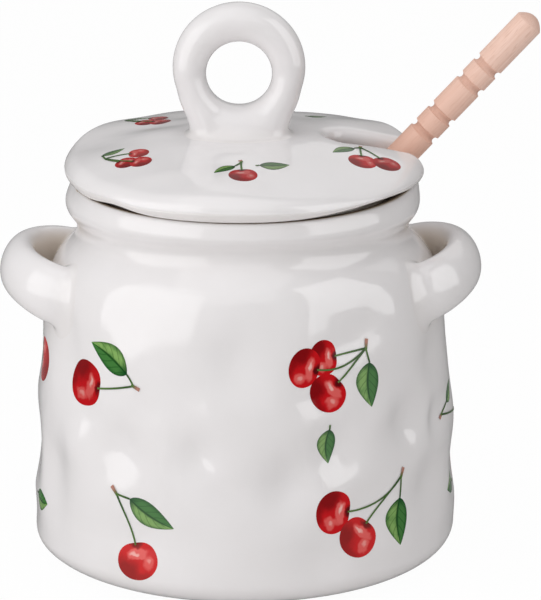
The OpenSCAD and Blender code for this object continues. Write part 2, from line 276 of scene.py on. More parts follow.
# the jar: a thrown pot whose wall was pressed in by hand while soft
jar = {
    "radius": 61.62,
    "height": 112.6,
    "taper": 2.7,
    "bellyCurve": 2.2,
    "shoulderZ": 66.0,
    "shoulderLean": 0.3,
    "shoulderFull": 0.545,  # how far up the shoulder keeps its width
    "neckSweep": 7.6,
    "neckRadius": 48.3,
    "turnShare": 0.47,  # where the shoulder turns into the neck, from the neck out
    "turnSlope": 51,
    "turnBelow": 5.8,  # pull of the curves that meet there, and of the one that ends in the groove
    "turnAbove": 4.3,
    "neckBelow": 3.7,
    "rimRadius": 51.6,
    "rimHeight": 14.2,
    "beadShare": 0.57,
    "beadCurve": (0.36, 0.5),
    "mouthRadius": 45.4,
    "lipRadius": 3.2,
    "landWidth": 0.9,
    "seatDrop": 0.6,  # the bare seat under the lid: how far below the top it starts
    "seatInset": 0.2,
    "wall": 4.8,
    "floor": 8.0,
    "insideTurn": 0.67,  # the same turn and width on the inside
    "insideFull": 0.45,
    "cornerRadius": 6.0,
    "heelWide": 17.0,
    "heelHigh": 9.0,
    "hollowRadius": 39.0,
    "hollowDepth": 1.2,
    "middleRadius": 1.0,  # smallest ring round the middle of the base and of the floor
    "ringRows": 6,
    "frontRise": 4.0,  # the groove was turned higher in front
    "riseFade": (1.0, 12.0),  # below the top
    "rimWaver": 0.15,
    "rimWaves": [(3, 0.7, 1.0), (5, 2.0, 0.6)],  # waves round the rim, their start and share
    "waverFade": (4.0, 3.0),  # below the neck and the top, and above the neck
    "leftCorner": (187, 17, 1.3),  # a rounder corner of the rim: turn, spread, depth
    "sides": 256,
    "dentDepth": 2.7,
    "dentBlend": 5,  # the higher, the less the dents run together
    "dentFrom": 4.0,
    "dentOver": 24.0,  # above the shoulder
    "dentFade": 14.0,
    # turn from +X in degrees, height, half width, share of the full depth
    "dents": [
        (234, 46.5, 8.5, 1.0), (258, 47, 6.5, 0.85), (268, 73, 9.5, 0.6), (281.5, 37, 8, 0.9),
        (296, 48, 8, 0.95), (291, 64, 8, 0.5), (301, 79, 8, 0.5), (322, 50, 8.5, 1.0), (303, 25, 9, 0.5),
        (293, 12, 8, 0.55), (206, 32, 10, 0.55), (182, 33, 12, 0.85), (212, 66, 9, 0.6), (243, 20, 9, 0.6),
        (333, 28, 9, 0.6), (338, 66, 9, 0.5), (338, 47, 6.5, 0.6), (358, 27, 8, 0.44), (20, 55, 10, 0.85),
        (38, 33, 10, 0.7), (55, 64, 9, 0.75), (72, 42, 11, 0.95), (92, 26, 9, 0.6), (100, 62, 10, 0.75),
        (122, 40, 11, 0.85), (140, 66, 9, 0.6), (150, 28, 10, 0.65), (164, 54, 9, 0.65), (183, 9, 12, 0.6),
        (182, 60, 8, 0.37),
    ],
    # clay pushed up beside them: turn, height, half width, how far it stands out
    "swells": [
        (217, 43, 6, 1.0), (247, 46, 5, 0.8), (270.5, 37, 6, 0.45), (312, 55, 5, 0.8), (283, 74, 6, 0.5),
        (0, 42, 9, 0.8), (0, 16, 9, 0.7), (180, 17, 8, 0.6), (180, 45, 7, 0.35),
    ],
    "presses": 90,  # light finger marks between the dents
    "pressSeed": 21,
    "pressTurn": (24, 156),  # in front and behind, clear of the ears
    "pressZ": (6, 88),
    "pressWidth": (4.5, 8.5),
    "pressDepth": (0.2, 0.75),
    # how much pooled glaze and painted shade darken the groove, and painted shade the inside and the middle
    # of base and floor
    "groovePoolAndShade": 0.04,
    "grooveSpread": 4.0,
    "insideShade": 0.2,
    "middleShade": [0.1, 0.2],
}
neckZ = jar["height"] - jar["rimHeight"]
beadZ = neckZ + jar["beadShare"] * jar["rimHeight"]
landRadius = jar["mouthRadius"] + jar["lipRadius"] + jar["landWidth"]
shoulderRadius = jar["radius"] - jar["taper"]
lean = jar["shoulderLean"] * jar["taper"]
turnRadius = mix(jar["neckRadius"], shoulderRadius, jar["turnShare"])
turnZ = neckZ - jar["neckSweep"]


def outsideProfile():
    slope = math.radians(jar["turnSlope"])
    across, down = math.cos(slope), math.sin(slope)
    heel = arc(jar["radius"] - jar["heelWide"], jar["heelHigh"], jar["heelWide"], jar["heelHigh"], -90, 0, 22)
    t = np.linspace(0, 1, 58)[1:]
    belly = np.stack([mix(jar["radius"], shoulderRadius, t ** jar["bellyCurve"]),
                      mix(jar["heelHigh"], jar["shoulderZ"], t)], 1)
    shoulder = bezier([
        (shoulderRadius, jar["shoulderZ"]),
        (shoulderRadius - lean, mix(jar["shoulderZ"], turnZ, jar["shoulderFull"])),
        (turnRadius + jar["turnBelow"] * across, turnZ - jar["turnBelow"] * down),
        (turnRadius, turnZ)], 32)[1:]
    neck = bezier([
        (turnRadius, turnZ),
        (turnRadius - jar["turnAbove"] * across, turnZ + jar["turnAbove"] * down),
        (jar["neckRadius"], neckZ - jar["neckBelow"]),
        (jar["neckRadius"], neckZ)], 16)[1:]
    bead = bezier([
        (jar["neckRadius"], neckZ),
        (jar["neckRadius"], mix(neckZ, beadZ, jar["beadCurve"][0])),
        (jar["rimRadius"], mix(beadZ, neckZ, jar["beadCurve"][1])),
        (jar["rimRadius"], beadZ)], 18)[1:]
    top = arc(landRadius, beadZ, jar["rimRadius"] - landRadius, jar["height"] - beadZ, 0, 90, 14)[1:]
    return np.concatenate([heel, belly, shoulder, neck, bead, top])


def insideProfile():
    thick = jar["wall"]
    lipZ = jar["height"] - jar["lipRadius"]
    cornerX = jar["radius"] - thick - jar["cornerRadius"]
    cornerZ = jar["floor"] + jar["cornerRadius"]
    throatEnd = (jar["neckRadius"] - thick, neckZ - thick / 2)
    wallEnd = (shoulderRadius - thick, jar["shoulderZ"])
    lipX = jar["mouthRadius"] + jar["lipRadius"]
    lip = arc(lipX, lipZ, jar["lipRadius"], jar["lipRadius"], 90, 180, 12)
    throat = np.linspace((jar["mouthRadius"], lipZ), throatEnd, 5)[1:]
    wall = bezier([
        throatEnd,
        (mix(throatEnd[0], wallEnd[0], jar["insideTurn"]), turnZ - thick / 2),
        (wallEnd[0] - lean, mix(jar["shoulderZ"], neckZ, jar["insideFull"])),
        wallEnd], 24)[1:]
    lower = np.linspace(wallEnd, (jar["radius"] - thick, cornerZ), 16)[1:]
    corner = arc(cornerX, cornerZ, jar["cornerRadius"], jar["cornerRadius"], 0, -90, 10)[1:]
    floor = np.linspace((cornerX, jar["floor"]), (jar["middleRadius"], jar["floor"]), 12)[1:]
    return np.concatenate([lip, throat, wall, lower, corner, floor])


def footProfile():
    # the shallow hollow and the ring that the pot stands on, from the middle out
    depth, edge = jar["hollowDepth"], jar["hollowRadius"]
    standing = jar["radius"] - jar["heelWide"]
    hollow = np.linspace((jar["middleRadius"], depth), (edge - depth, depth), 10)
    step = arc(edge - depth, 0, depth, depth, 90, 0, 6)[1:]
    ring = np.linspace((edge + 0.05, 0), (standing - 0.1, 0), jar["ringRows"])  # clear of its neighbours
    return np.concatenate([hollow, step, ring])


outline = outsideProfile()
dice = random.Random(jar["pressSeed"])
presses = [
    (dice.choice((0, 180)) + dice.uniform(*jar["pressTurn"]), dice.uniform(*jar["pressZ"]),
     dice.uniform(*jar["pressWidth"]), dice.uniform(*jar["pressDepth"])) for i in range(jar["presses"])]


def fingerMark(turn, z, angle, height, width):
    # 1 in the middle of a mark, fading round it
    off = np.radians(apart(turn, angle)) * jar["radius"] / width
    return np.exp(-off ** 2 - ((z - height) / width) ** 2)


def dentDepth(turn, z):
    # overlapping finger dents, softened where they meet, then the light marks and the swells
    total = np.zeros(np.broadcast(turn, z).shape)
    for *at, share in jar["dents"]:
        total += (share * fingerMark(turn, z, *at)) ** jar["dentBlend"]
    depth = jar["dentDepth"] * total ** (1 / jar["dentBlend"])
    for *at, deep in presses + [(*at, -high) for *at, high in jar["swells"]]:
        depth = depth + deep * fingerMark(turn, z, *at)
    inside = np.minimum(z - jar["dentFrom"], jar["shoulderZ"] + jar["dentOver"] - z)
    return np.clip(inside / jar["dentFade"], 0, 1) * depth


def neckRise(turn, z):
    # most in front, fading to nothing behind
    front = ((1 - np.sin(np.radians(turn))) / 2) ** 3
    high, low = (jar["height"] - below for below in jar["riseFade"])
    return jar["frontRise"] * front * smooth(jar["shoulderZ"], turnZ, z) * smooth(high, low, z)


def wallRadius(turn, z):
    # the level that was turned up to this height is found in a few steps
    level = z
    for step in range(5):
        level = z - neckRise(turn, level)
    return np.interp(level, outline[:, 1], outline[:, 0]) - dentDepth(turn, level)


# the ears: straps of clay bent into loops and worked onto the wall
ears = {
    "span": 43.0,
    "reach": {-1: 15.44, 1: 14.1},  # left and right
    "bury": 2.7,
    "runIn": 0.3,  # how far the strap runs on into the wall, for each degree past its end
    "rise": 5.0,
    "rootZ": {-1: 82.4, 1: 83.6},
    "thick": 9.8,
    "tall": 15.6,
    "flare": 0.12,
    "fillet": (1.6, 4.8),  # on top and inside the loop, and outside it
    "filletFade": (-0.5, 0.9),
    "footShare": 0.9,  # of the fillet, out along the wall
    "skirtRows": 10,
    "search": (20.0, 125.0),  # degrees along the loop between which it meets the wall
    "walkStep": 0.25,
    "hem": [(1.0, 0.04), (1.7, 0.5), (-1.0, 3.0)],  # past the fillet's foot, and under the wall's skin
    "sides": 56,
    "steps": 84,
    # painted shade inside the loop; glaze pooled, with painted shade, round the roots
    "innerShade": 0.85,
    "innerFade": (0.0, 0.9),
    "rootPoolAndShade": 0.1,
    "poolAndShadeAt": (57.0, 82.0),  # radius and height of the roots
    "poolAndShadeSpread": (9.0, 11.0),  # degrees and millimetres
}


def makeJar():
    foot = footProfile()
    sides = jar["sides"]
    rows = np.concatenate([foot, outline, insideProfile()])
    turn = np.arange(sides) * 360 / sides
    a = np.radians(turn)
    radius = np.repeat(rows[:, :1], sides, 1)
    height = np.repeat(rows[:, 1:], sides, 1)
    outside = slice(len(foot), len(foot) + len(outline))
    z = height[outside].copy()
    radius[outside] -= dentDepth(turn[None, :], z)
    # the rim was wiped by hand, so it wavers a little
    waver = sum(share * (1 + np.sin(waves * a + start)) for waves, start, share in jar["rimWaves"])
    below, above = jar["waverFade"]
    rim = smooth(neckZ - below, neckZ + above, z) * smooth(jar["height"], jar["height"] - below, z)
    radius[outside] -= jar["rimWaver"] * waver * rim
    # and its top corner is rounder at the left
    corner, spread, deep = jar["leftCorner"]
    rounder = np.exp(-(apart(turn, corner) / spread) ** 2)
    radius[outside] -= deep * rounder * smooth(beadZ, jar["height"] - 1, z)
    height[outside] += neckRise(turn[None, :], z)
    rings = np.stack([radius * np.cos(a), radius * np.sin(a), height], 2)
    points, faces = skin(rings, (0, 0, jar["hollowDepth"]), (0, 0, jar["floor"]))
    # glaze pools in the groove under the rim and round the ear roots, darkened there also as painted shade,
    # and painted shade darkens the inside, floor and all
    poolAndShade = np.zeros(radius.shape)
    poolAndShade[outside] = jar["groovePoolAndShade"] * np.exp(-((rows[outside, 1:] - neckZ) / jar["grooveSpread"]) ** 2)
    poolAndShade[outside.stop:] = jar["insideShade"]
    rootRadius, rootZ = ears["poolAndShadeAt"]
    legTurn = math.degrees(math.asin(ears["span"] / 2 / rootRadius))
    for at in (-legTurn, legTurn, 180 - legTurn, 180 + legTurn):
        off = apart(turn[None, :], at) / ears["poolAndShadeSpread"][0]
        up = (height[outside] - rootZ) / ears["poolAndShadeSpread"][1]
        poolAndShade[outside] += ears["rootPoolAndShade"] * np.exp(-off ** 2 - up ** 2)
    # the seat under the lid is painted in full dark shade, so the gap there goes dark
    seatZ, seatRadius = jar["height"] - jar["seatDrop"], landRadius - jar["seatInset"]
    poolAndShade[(height > seatZ) & (radius < seatRadius)] = 1
    poolAndShade = np.append(np.clip(poolAndShade, 0, 1).ravel(), jar["middleShade"])
    piece = makePiece("jar_body_glazed", points, faces, [whiteGlaze, bareClay], poolAndShade)
    for face in piece.data.polygons:
        row = face.index // sides
        onRing = len(foot) - jar["ringRows"] <= row < len(foot) + 2 and row < len(rows) - 1
        onSeat = face.center.z > seatZ * mm and face.center.xy.length < seatRadius * mm
        face.material_index = int(onRing or onSeat)
    return piece


jarPiece = makeJar()
print("jar wall pressed:", len(jarPiece.data.polygons), "faces")


def makeEar(name, hand):
    flip = np.array([hand, 1, 1])
    reach, rise, rootZ, halfSpan = ears["reach"][hand], ears["rise"], ears["rootZ"][hand], ears["span"] / 2
    rootRadius = np.interp(rootZ, outline[:, 1], outline[:, 0])
    rootX = math.sqrt(rootRadius ** 2 - halfSpan ** 2) - ears["bury"]
    earUp = np.array([-rise, 0, reach]) / math.hypot(rise, reach)

    def earFrame(u):
        # middle of the strap, its side and its flare, for turns u along the loop
        a = np.radians(np.clip(u, -90, 90))
        beyond = np.maximum(np.abs(u) - 90, 0) * ears["runIn"]
        middle = np.stack([
            rootX + reach * np.cos(a) - beyond, halfSpan * np.sin(a), rootZ + rise * np.cos(a)], -1)
        along = unit(np.stack([-reach * np.sin(a), halfSpan * np.cos(a), -rise * np.sin(a)], -1))
        return middle, np.cross(earUp, along), 1 + ears["flare"] * np.abs(np.sin(a)) ** 4

    def earPoint(u, s):
        middle, side, flare = earFrame(u)
        wide, high = ears["thick"] / 2 * np.cos(s), ears["tall"] / 2 * np.sin(s)
        return middle + flare[..., None] * (wide[..., None] * side + high[..., None] * earUp)

    def wallBeside(p):
        # the points on their own side of the jar, their turn, and the wall's radius there
        q = p * flip
        turn = np.arctan2(q[..., 1], q[..., 0])
        return q, turn, wallRadius(np.degrees(turn), q[..., 2])

    def outOfWall(p):
        q, turn, radius = wallBeside(p)
        return np.hypot(q[..., 0], q[..., 1]) - radius > 0

    def onWall(p, sink=0.0):
        q, turn, radius = wallBeside(p)
        r = radius - sink
        return np.stack([r * np.cos(turn), r * np.sin(turn), q[..., 2]], -1) * flip

    s = around(ears["sides"])
    soft = mix(*ears["fillet"], smooth(*ears["filletFade"], -np.cos(s)))
    ends = {}
    for leg in (-1, 1):
        start, stop = (np.full(len(s), turn) for turn in ears["search"])
        last = farthest(lambda u: outOfWall(earPoint(leg * u, s)), start, stop)
        contact = earPoint(leg * last, s)
        # walk back along the strap by the fillet's length
        back, walked, before = last, np.zeros(len(s)), contact
        while (walked < soft).any():
            back = np.where(walked < soft, back - ears["walkStep"], back)
            now = earPoint(leg * back, s)
            walked = walked + np.linalg.norm(now - before, axis=1)
            before = now
        # and out along the wall, away from the strap
        over, under = (wallRadius(270, contact[:, 2] + step) for step in (0.5, -0.5))
        slope = (over - under)[:, None]
        normal = unit(unit(contact * [1, 1, 0]) - slope * [0, 0, 1])
        away = contact - earFrame(leg * last)[0]
        away = unit(away - (away * normal).sum(1, keepdims=True) * normal)
        foot = onWall(contact + away * (ears["footShare"] * soft)[:, None])
        ends[leg] = {"turn": leg * back, "from": before, "contact": contact, "foot": foot, "away": away}
    share = np.linspace(0, 1, ears["steps"])[:, None]
    turns = mix(ends[-1]["turn"], ends[1]["turn"], share)
    rings = earPoint(turns, np.broadcast_to(s, turns.shape))
    # painted shade on the inside of the loop, which also holds more glaze
    inner = ears["innerShade"] * smooth(*ears["innerFade"], np.cos(s))
    poolAndShade = np.broadcast_to(inner, turns.shape)
    for leg, end in ends.items():
        skirt, tint = [], []
        for t in np.linspace(0, 1, ears["skirtRows"] + 1)[1:]:
            skirt.append(bent(end["from"], end["contact"], end["foot"], t))
            tint.append(mix(inner, ears["rootPoolAndShade"], t))
        for far, sink in ears["hem"]:
            skirt.append(onWall(end["foot"] + far * end["away"], sink))
            tint.append(np.full(len(s), ears["rootPoolAndShade"]))
        if leg < 0:
            rings, poolAndShade = np.concatenate([skirt[::-1], rings]), np.concatenate([tint[::-1], poolAndShade])
        else:
            rings, poolAndShade = np.concatenate([rings, skirt]), np.concatenate([poolAndShade, tint])
    rings = rings * flip
    if hand > 0:
        rings, poolAndShade = rings[:, ::-1], poolAndShade[:, ::-1]
    points, faces = skin(rings)
    return makePiece(name, points, faces, [whiteGlaze], poolAndShade.ravel())


leftEar = makeEar("left_ear_glazed", -1)
rightEar = makeEar("right_ear_glazed", 1)
print("ears joined to the wall")


# the lid: a thick slab, domed and a little wavy, with an open notch for the stick
lid = {
    "radius": 52.4,
    "edge": 3.7,
    "seatZ": 112.7,
    "seatFade": (0.4, 2.4),  # outside the flange
    "topZ": 125.874,
    "dome": 5.9,
    "domeRadius": 49.66,
    "domeCurve": 1.6,
    "domePast": 1.2,  # the curve goes on a little past the dome's radius
    "land": 16.0,
    "thick": 5.5,
    "wave": 1.0,
    "waves": [(3, 40, 0.6), (5, 150, 0.4)],  # waves round the edge, their start and share
    "edgeDrop": 0.2,
    "edgeWave": (0.2, 80),  # of the outline seen from above: share of the wave, turn
    "trims": [(186, 20, 0.5)],  # off the outline: turn, spread, depth
    "tilt": 0.85,  # the slab is thicker at the back and left
    "tiltTurn": math.radians(125),
    "swell": 0.8,
    "swellFade": (20, 32),
    "notchTurn": math.radians(6.2265),
    "notchHalf": 6.3,
    "notchIn": 23.84,
    "notchCorner": 4.6,
    "notchEdge": 2.5,
    "gaps": [(-40, 22, 1.9), (190, 14, 0.3), (224, 10, 1.2), (90, 50, 1.0)],  # turn, spread, height
    "humps": [(30, 15, 1.9), (127, 13, -1.4)],  # of the edge: turn, spread, height
    # pressed into the top: x, y, half widths, height
    "lumps": [(-22, 13, 13, 5, -0.6), (-20, 2, 14, 5, 0.35), (-22, -33, 9, 4, 0.35), (26, -22, 12, 7, 0.12)],
    "lumpFade": (16, 22),
    "flangeOut": 44.2,
    "flangeIn": 40.7,
    "flangeZ": 106.7,
    "flangeRound": 1.4,
    "flangeRoot": 3.5,  # above the seat
    "flangeClear": 0.4,  # beside the notch
    "flangeSteps": 200,
    "spacing": 1.5,
    "clearShare": 0.55,  # of the spacing, kept free along the edge
    "edgeSteps": 9,
    # painted shade under the lid: the underside of its edge, the hollow and the flange
    "edgeShade": 0.12,
    "underShade": 0.2,
    "flangeShade": 0.15,
    "shadeInset": 3.0,  # painted in full shade below this height over the seat, and this far in from the edge
}


def lidWave(turn):
    return lid["wave"] * sum(
        share * np.sin(waves * turn + math.radians(start)) for waves, start, share in lid["waves"])


def lidTilt(turn):
    return lid["tilt"] * (1 + np.cos(turn - lid["tiltTurn"]))


def edgeHumps(turn, humps):
    return sum(high * np.exp(-(apart(np.degrees(turn), at) / spread) ** 2) for at, spread, high in humps)


def domeDrop(r, limit):
    out = np.clip((r - lid["land"]) / (lid["domeRadius"] - lid["land"]), 0, limit)
    return out, lid["dome"] * out ** lid["domeCurve"]


def lidTop(x, y):
    r, turn = np.hypot(x, y), np.arctan2(y, x)
    out, drop = domeDrop(r, lid["domePast"])
    edge = lidWave(turn) + lidTilt(turn) - lid["edgeDrop"] + edgeHumps(turn, lid["humps"])
    height = lid["topZ"] - drop + edge * np.minimum(out, 1)
    for cx, cy, wide, deep, high in lid["lumps"]:
        lump = np.exp(-((x - cx) / wide) ** 2 - ((y - cy) / deep) ** 2)
        height = height + high * lump * smooth(*lid["lumpFade"], r)
    # slow swells left by the hand, between 0 and 1
    small = np.sin(x / 6 + 0.6 * np.sin(y / 9) + 2.2) * np.sin(y / 5 + 0.8)
    swell = 0.5 + 0.3 * small + 0.2 * np.sin(x / 11 - y / 8)
    return height - lid["swell"] * swell * smooth(*lid["swellFade"], r)


def lidUnder(x, y):
    r, turn = np.hypot(x, y), np.arctan2(y, x)
    hollow = lid["topZ"] - lid["thick"] - domeDrop(r, 1)[1]
    # the seat is not quite flat, so a dark gap opens at the right, the left and the back
    seat = lid["seatZ"] + edgeHumps(turn, lid["gaps"])
    start, end = (lid["flangeIn"] + out for out in lid["seatFade"])
    return mix(hollow, seat, smooth(start, end, r))


def lidOutline():
    # seen from above, anticlockwise, in the notch's own direction along +X
    half, corner, radius = lid["notchHalf"], lid["notchCorner"], lid["radius"]
    cx = math.sqrt((radius - corner) ** 2 - (half + corner) ** 2)
    opening = math.degrees(math.atan2(half + corner, cx))
    end = lid["notchIn"] + half
    lineIn = np.linspace((cx, -half), (end, -half), 16)[:-1]
    lineOut = np.linspace((end, half), (cx, half), 16)[:-1]
    parts = [
        arc(0, 0, radius, radius, opening, 360 - opening, 300)[:-1],
        arc(cx, -half - corner, corner, corner, -opening, 90, 16)[:-1],
        lineIn,
        arc(end, 0, half, half, 270, 90, 30)[:-1],
        lineOut,
        arc(cx, half + corner, corner, corner, -90, opening, 16)[:-1],
    ]
    # the edge's roundness along each part
    wide, narrow = lid["edge"], lid["notchEdge"]
    ends = [(wide, wide), (wide, narrow)] + [(narrow, narrow)] * 3 + [(narrow, wide)]
    edge = [np.linspace(*pair, len(part)) for pair, part in zip(ends, parts)]
    return np.concatenate(parts), np.concatenate(edge)


def lidPlan():
    plan, edge = lidOutline()
    along = unit(np.roll(plan, -1, 0) - np.roll(plan, 1, 0))
    inward = np.stack([-along[:, 1], along[:, 0]], 1)
    bend = np.linspace(0, math.pi / 2, lid["edgeSteps"])
    rings = [plan + inward * (edge * (1 - math.cos(b)))[:, None] for b in bend]
    # points in rows inside the innermost ring, then triangles between them
    inner = rings[-1]
    grid = []
    rowStep = lid["spacing"] * math.sqrt(3) / 2
    for row, y in enumerate(np.arange(-lid["radius"], lid["radius"], rowStep)):
        for x in np.arange(-lid["radius"], lid["radius"], lid["spacing"]):
            grid.append((x + (row % 2) * lid["spacing"] / 2, y))
    grid = np.array(grid)
    inside = np.zeros(len(grid), bool)
    tiny = 1e-9
    for a, b in zip(inner, np.roll(inner, -1, 0)):
        cross = (a[1] > grid[:, 1]) != (b[1] > grid[:, 1])
        rise = b[1] - a[1] if abs(b[1] - a[1]) > tiny else tiny
        inside ^= cross & (grid[:, 0] < (b[0] - a[0]) * (grid[:, 1] - a[1]) / rise + a[0])
    near = np.array([np.min(np.hypot(*(inner - g).T)) for g in grid])
    grid = grid[inside & (near > lid["clearShare"] * lid["spacing"])]
    count = len(inner)
    border = [(i, (i + 1) % count) for i in range(count)]
    made = delaunay_2d_cdt([Vector(p) for p in np.concatenate([inner, grid])], border, [], 1, 1e-7)
    order = [source[0] for source in made[3]]
    triangles = [tuple(order[v] for v in face) for face in made[2]]
    return list(zip(rings, bend)), edge, grid, triangles


def lidFlange():
    # the ring that locates the lid, open at the notch
    gap = math.asin((lid["notchHalf"] + lid["flangeClear"]) / lid["flangeOut"])
    soft, lowZ, rootZ = lid["flangeRound"], lid["flangeZ"], lid["seatZ"] + lid["flangeRoot"]
    section = np.concatenate([
        [(lid["flangeIn"], rootZ)],
        arc(lid["flangeIn"] + soft, lowZ + soft, soft, soft, 180, 270, 6),
        arc(lid["flangeOut"] - soft, lowZ + soft, soft, soft, 270, 360, 6),
        [(lid["flangeOut"], rootZ)]])
    turns = np.linspace(lid["notchTurn"] + gap, lid["notchTurn"] + 2 * math.pi - gap, lid["flangeSteps"])
    r, z = section.T
    rings = np.stack([
        np.outer(np.cos(turns), r), np.outer(np.sin(turns), r), np.broadcast_to(z, (len(turns), len(z)))], 2)
    return skin(rings[:, ::-1])


def makeLid():
    rings, edge, grid, triangles = lidPlan()
    c, s = math.cos(lid["notchTurn"]), math.sin(lid["notchTurn"])

    def turned(flat):
        x, y = flat[:, 0] * c - flat[:, 1] * s, flat[:, 0] * s + flat[:, 1] * c
        turn = np.arctan2(y, x)
        share, start = lid["edgeWave"]
        narrow = share * lidWave(turn + math.radians(start)) + edgeHumps(turn, lid["trims"])
        grow = 1 - narrow / lid["radius"]
        return x * grow, y * grow

    # the round edge from the underside to the top, then both faces inside it
    points = []
    count, rows = len(edge), 2 * len(rings)
    for face, way, order in ((lidUnder, 1, rings[::-1]), (lidTop, -1, rings)):
        for ring, bend in order:
            x, y = turned(ring)
            half = np.minimum(edge, 0.5 * (lidTop(x, y) - lidUnder(x, y)))
            points += zip(x, y, face(x, y) + way * half * (1 - math.sin(bend)))
    faces = gridFaces(rows, count)
    x, y = turned(grid)
    topRing, lowStart, topStart = (rows - 1) * count, rows * count, rows * count + len(grid)
    points += zip(x, y, lidUnder(x, y))
    points += zip(x, y, lidTop(x, y))
    for tri in triangles:
        faces.append(tuple(v + topRing if v < count else v - count + topStart for v in tri))
        faces.append(tuple(v if v < count else v - count + lowStart for v in tri[::-1]))
    flange, flangeFaces = lidFlange()
    faces += [tuple(v + len(points) for v in face) for face in flangeFaces]
    points += flange
    halfEdge = len(rings) * count
    # painted shade under the lid, full low over the seat and the flange
    poolAndShade = np.repeat(
        [lid["edgeShade"], 0.0, lid["underShade"], 0.0, lid["flangeShade"]],
        [halfEdge, halfEdge, len(grid), len(grid), len(flange)])
    inset = lid["shadeInset"]
    x, y, z = np.array(points).T
    poolAndShade[(z < lid["seatZ"] + inset) & (np.hypot(x, y) < lid["radius"] - inset)] = 1
    piece = makePiece("lid_glazed", points, faces, [whiteGlaze, bareClay], poolAndShade)
    for face in piece.data.polygons:
        onSeat = lid["flangeOut"] < face.center.xy.length / mm < lid["radius"] - lid["edge"]
        face.material_index = int(face.normal.z < -0.9 and onSeat)
    return piece


lidPiece = makeLid()
print("lid drawn with its notch:", len(lidPiece.data.polygons), "faces")


# the knob: a ring rolled from clay, pressed flat below and blended onto the lid
knob = {
    "shift": -1.2,
    "ring": 19.1,
    "hole": 9.5,
    "height": 39.0,
    "holeDrop": 1.9,
    "ringThick": 10.4,
    "footWide": 27.5,
    "footThick": 15.0,
    "footSquare": 8,  # the higher, the squarer the foot's corners
    "footFade": 0.5,
    "footBlunt": 0.8,
    "soft": 8.0,
    "below": 6.0,
    "cut": 6.5,
    "fillet": 4.2,
    "endFillet": 0.6,  # share of the fillet at both ends of the foot
    "slices": 17,
    "search": 30.0,
    "press": 0.03,  # how far the fillet's edge goes under the lid's skin
    "sink": 0.8,
    "steps": 200,
    "sides": 56,
    # painted shade, with a little pooled glaze, where the knob meets the lid
    "poolAndShade": 0.1,
    "poolAndShadeSpread": 3.0,
}
holeZ = lid["topZ"] + knob["height"] - knob["ring"] - knob["holeDrop"]


def knobSize(a):
    # outer distance from the hole's middle, depth and bluntness at a turn from straight down
    drop, square = knob["holeDrop"], knob["footSquare"]
    ring = np.sqrt(knob["ring"] ** 2 - (drop * np.sin(a)) ** 2) - drop * np.cos(a)
    aside = knob["footWide"] / 2 / np.maximum(0.01, np.abs(np.sin(a)))
    down = (holeZ - lid["topZ"] + knob["below"]) / np.maximum(np.cos(a), 1e-3)
    foot = (aside ** -square + down ** -square) ** (-1 / square)
    foot = foot * smooth(-knob["footFade"], knob["footFade"], np.cos(a))
    out = np.maximum(ring, foot) + np.maximum(0, knob["soft"] - np.abs(ring - foot)) ** 2 / knob["soft"] / 4
    footness = np.maximum(0, np.cos(a)) ** 3
    deep = mix(knob["ringThick"], knob["footThick"], footness) / 2
    return out, deep, mix(1, knob["footBlunt"], footness)


def knobInside(x, y, z):
    r = np.hypot(x, z - holeZ)
    out, deep, blunt = knobSize(np.arctan2(x, holeZ - z))
    half = (out - knob["hole"]) / 2
    c = (r - knob["hole"] - half) / half
    return (np.abs(c) < 1) & (np.abs(y) < deep * np.maximum(0, 1 - c * c) ** (blunt / 2))


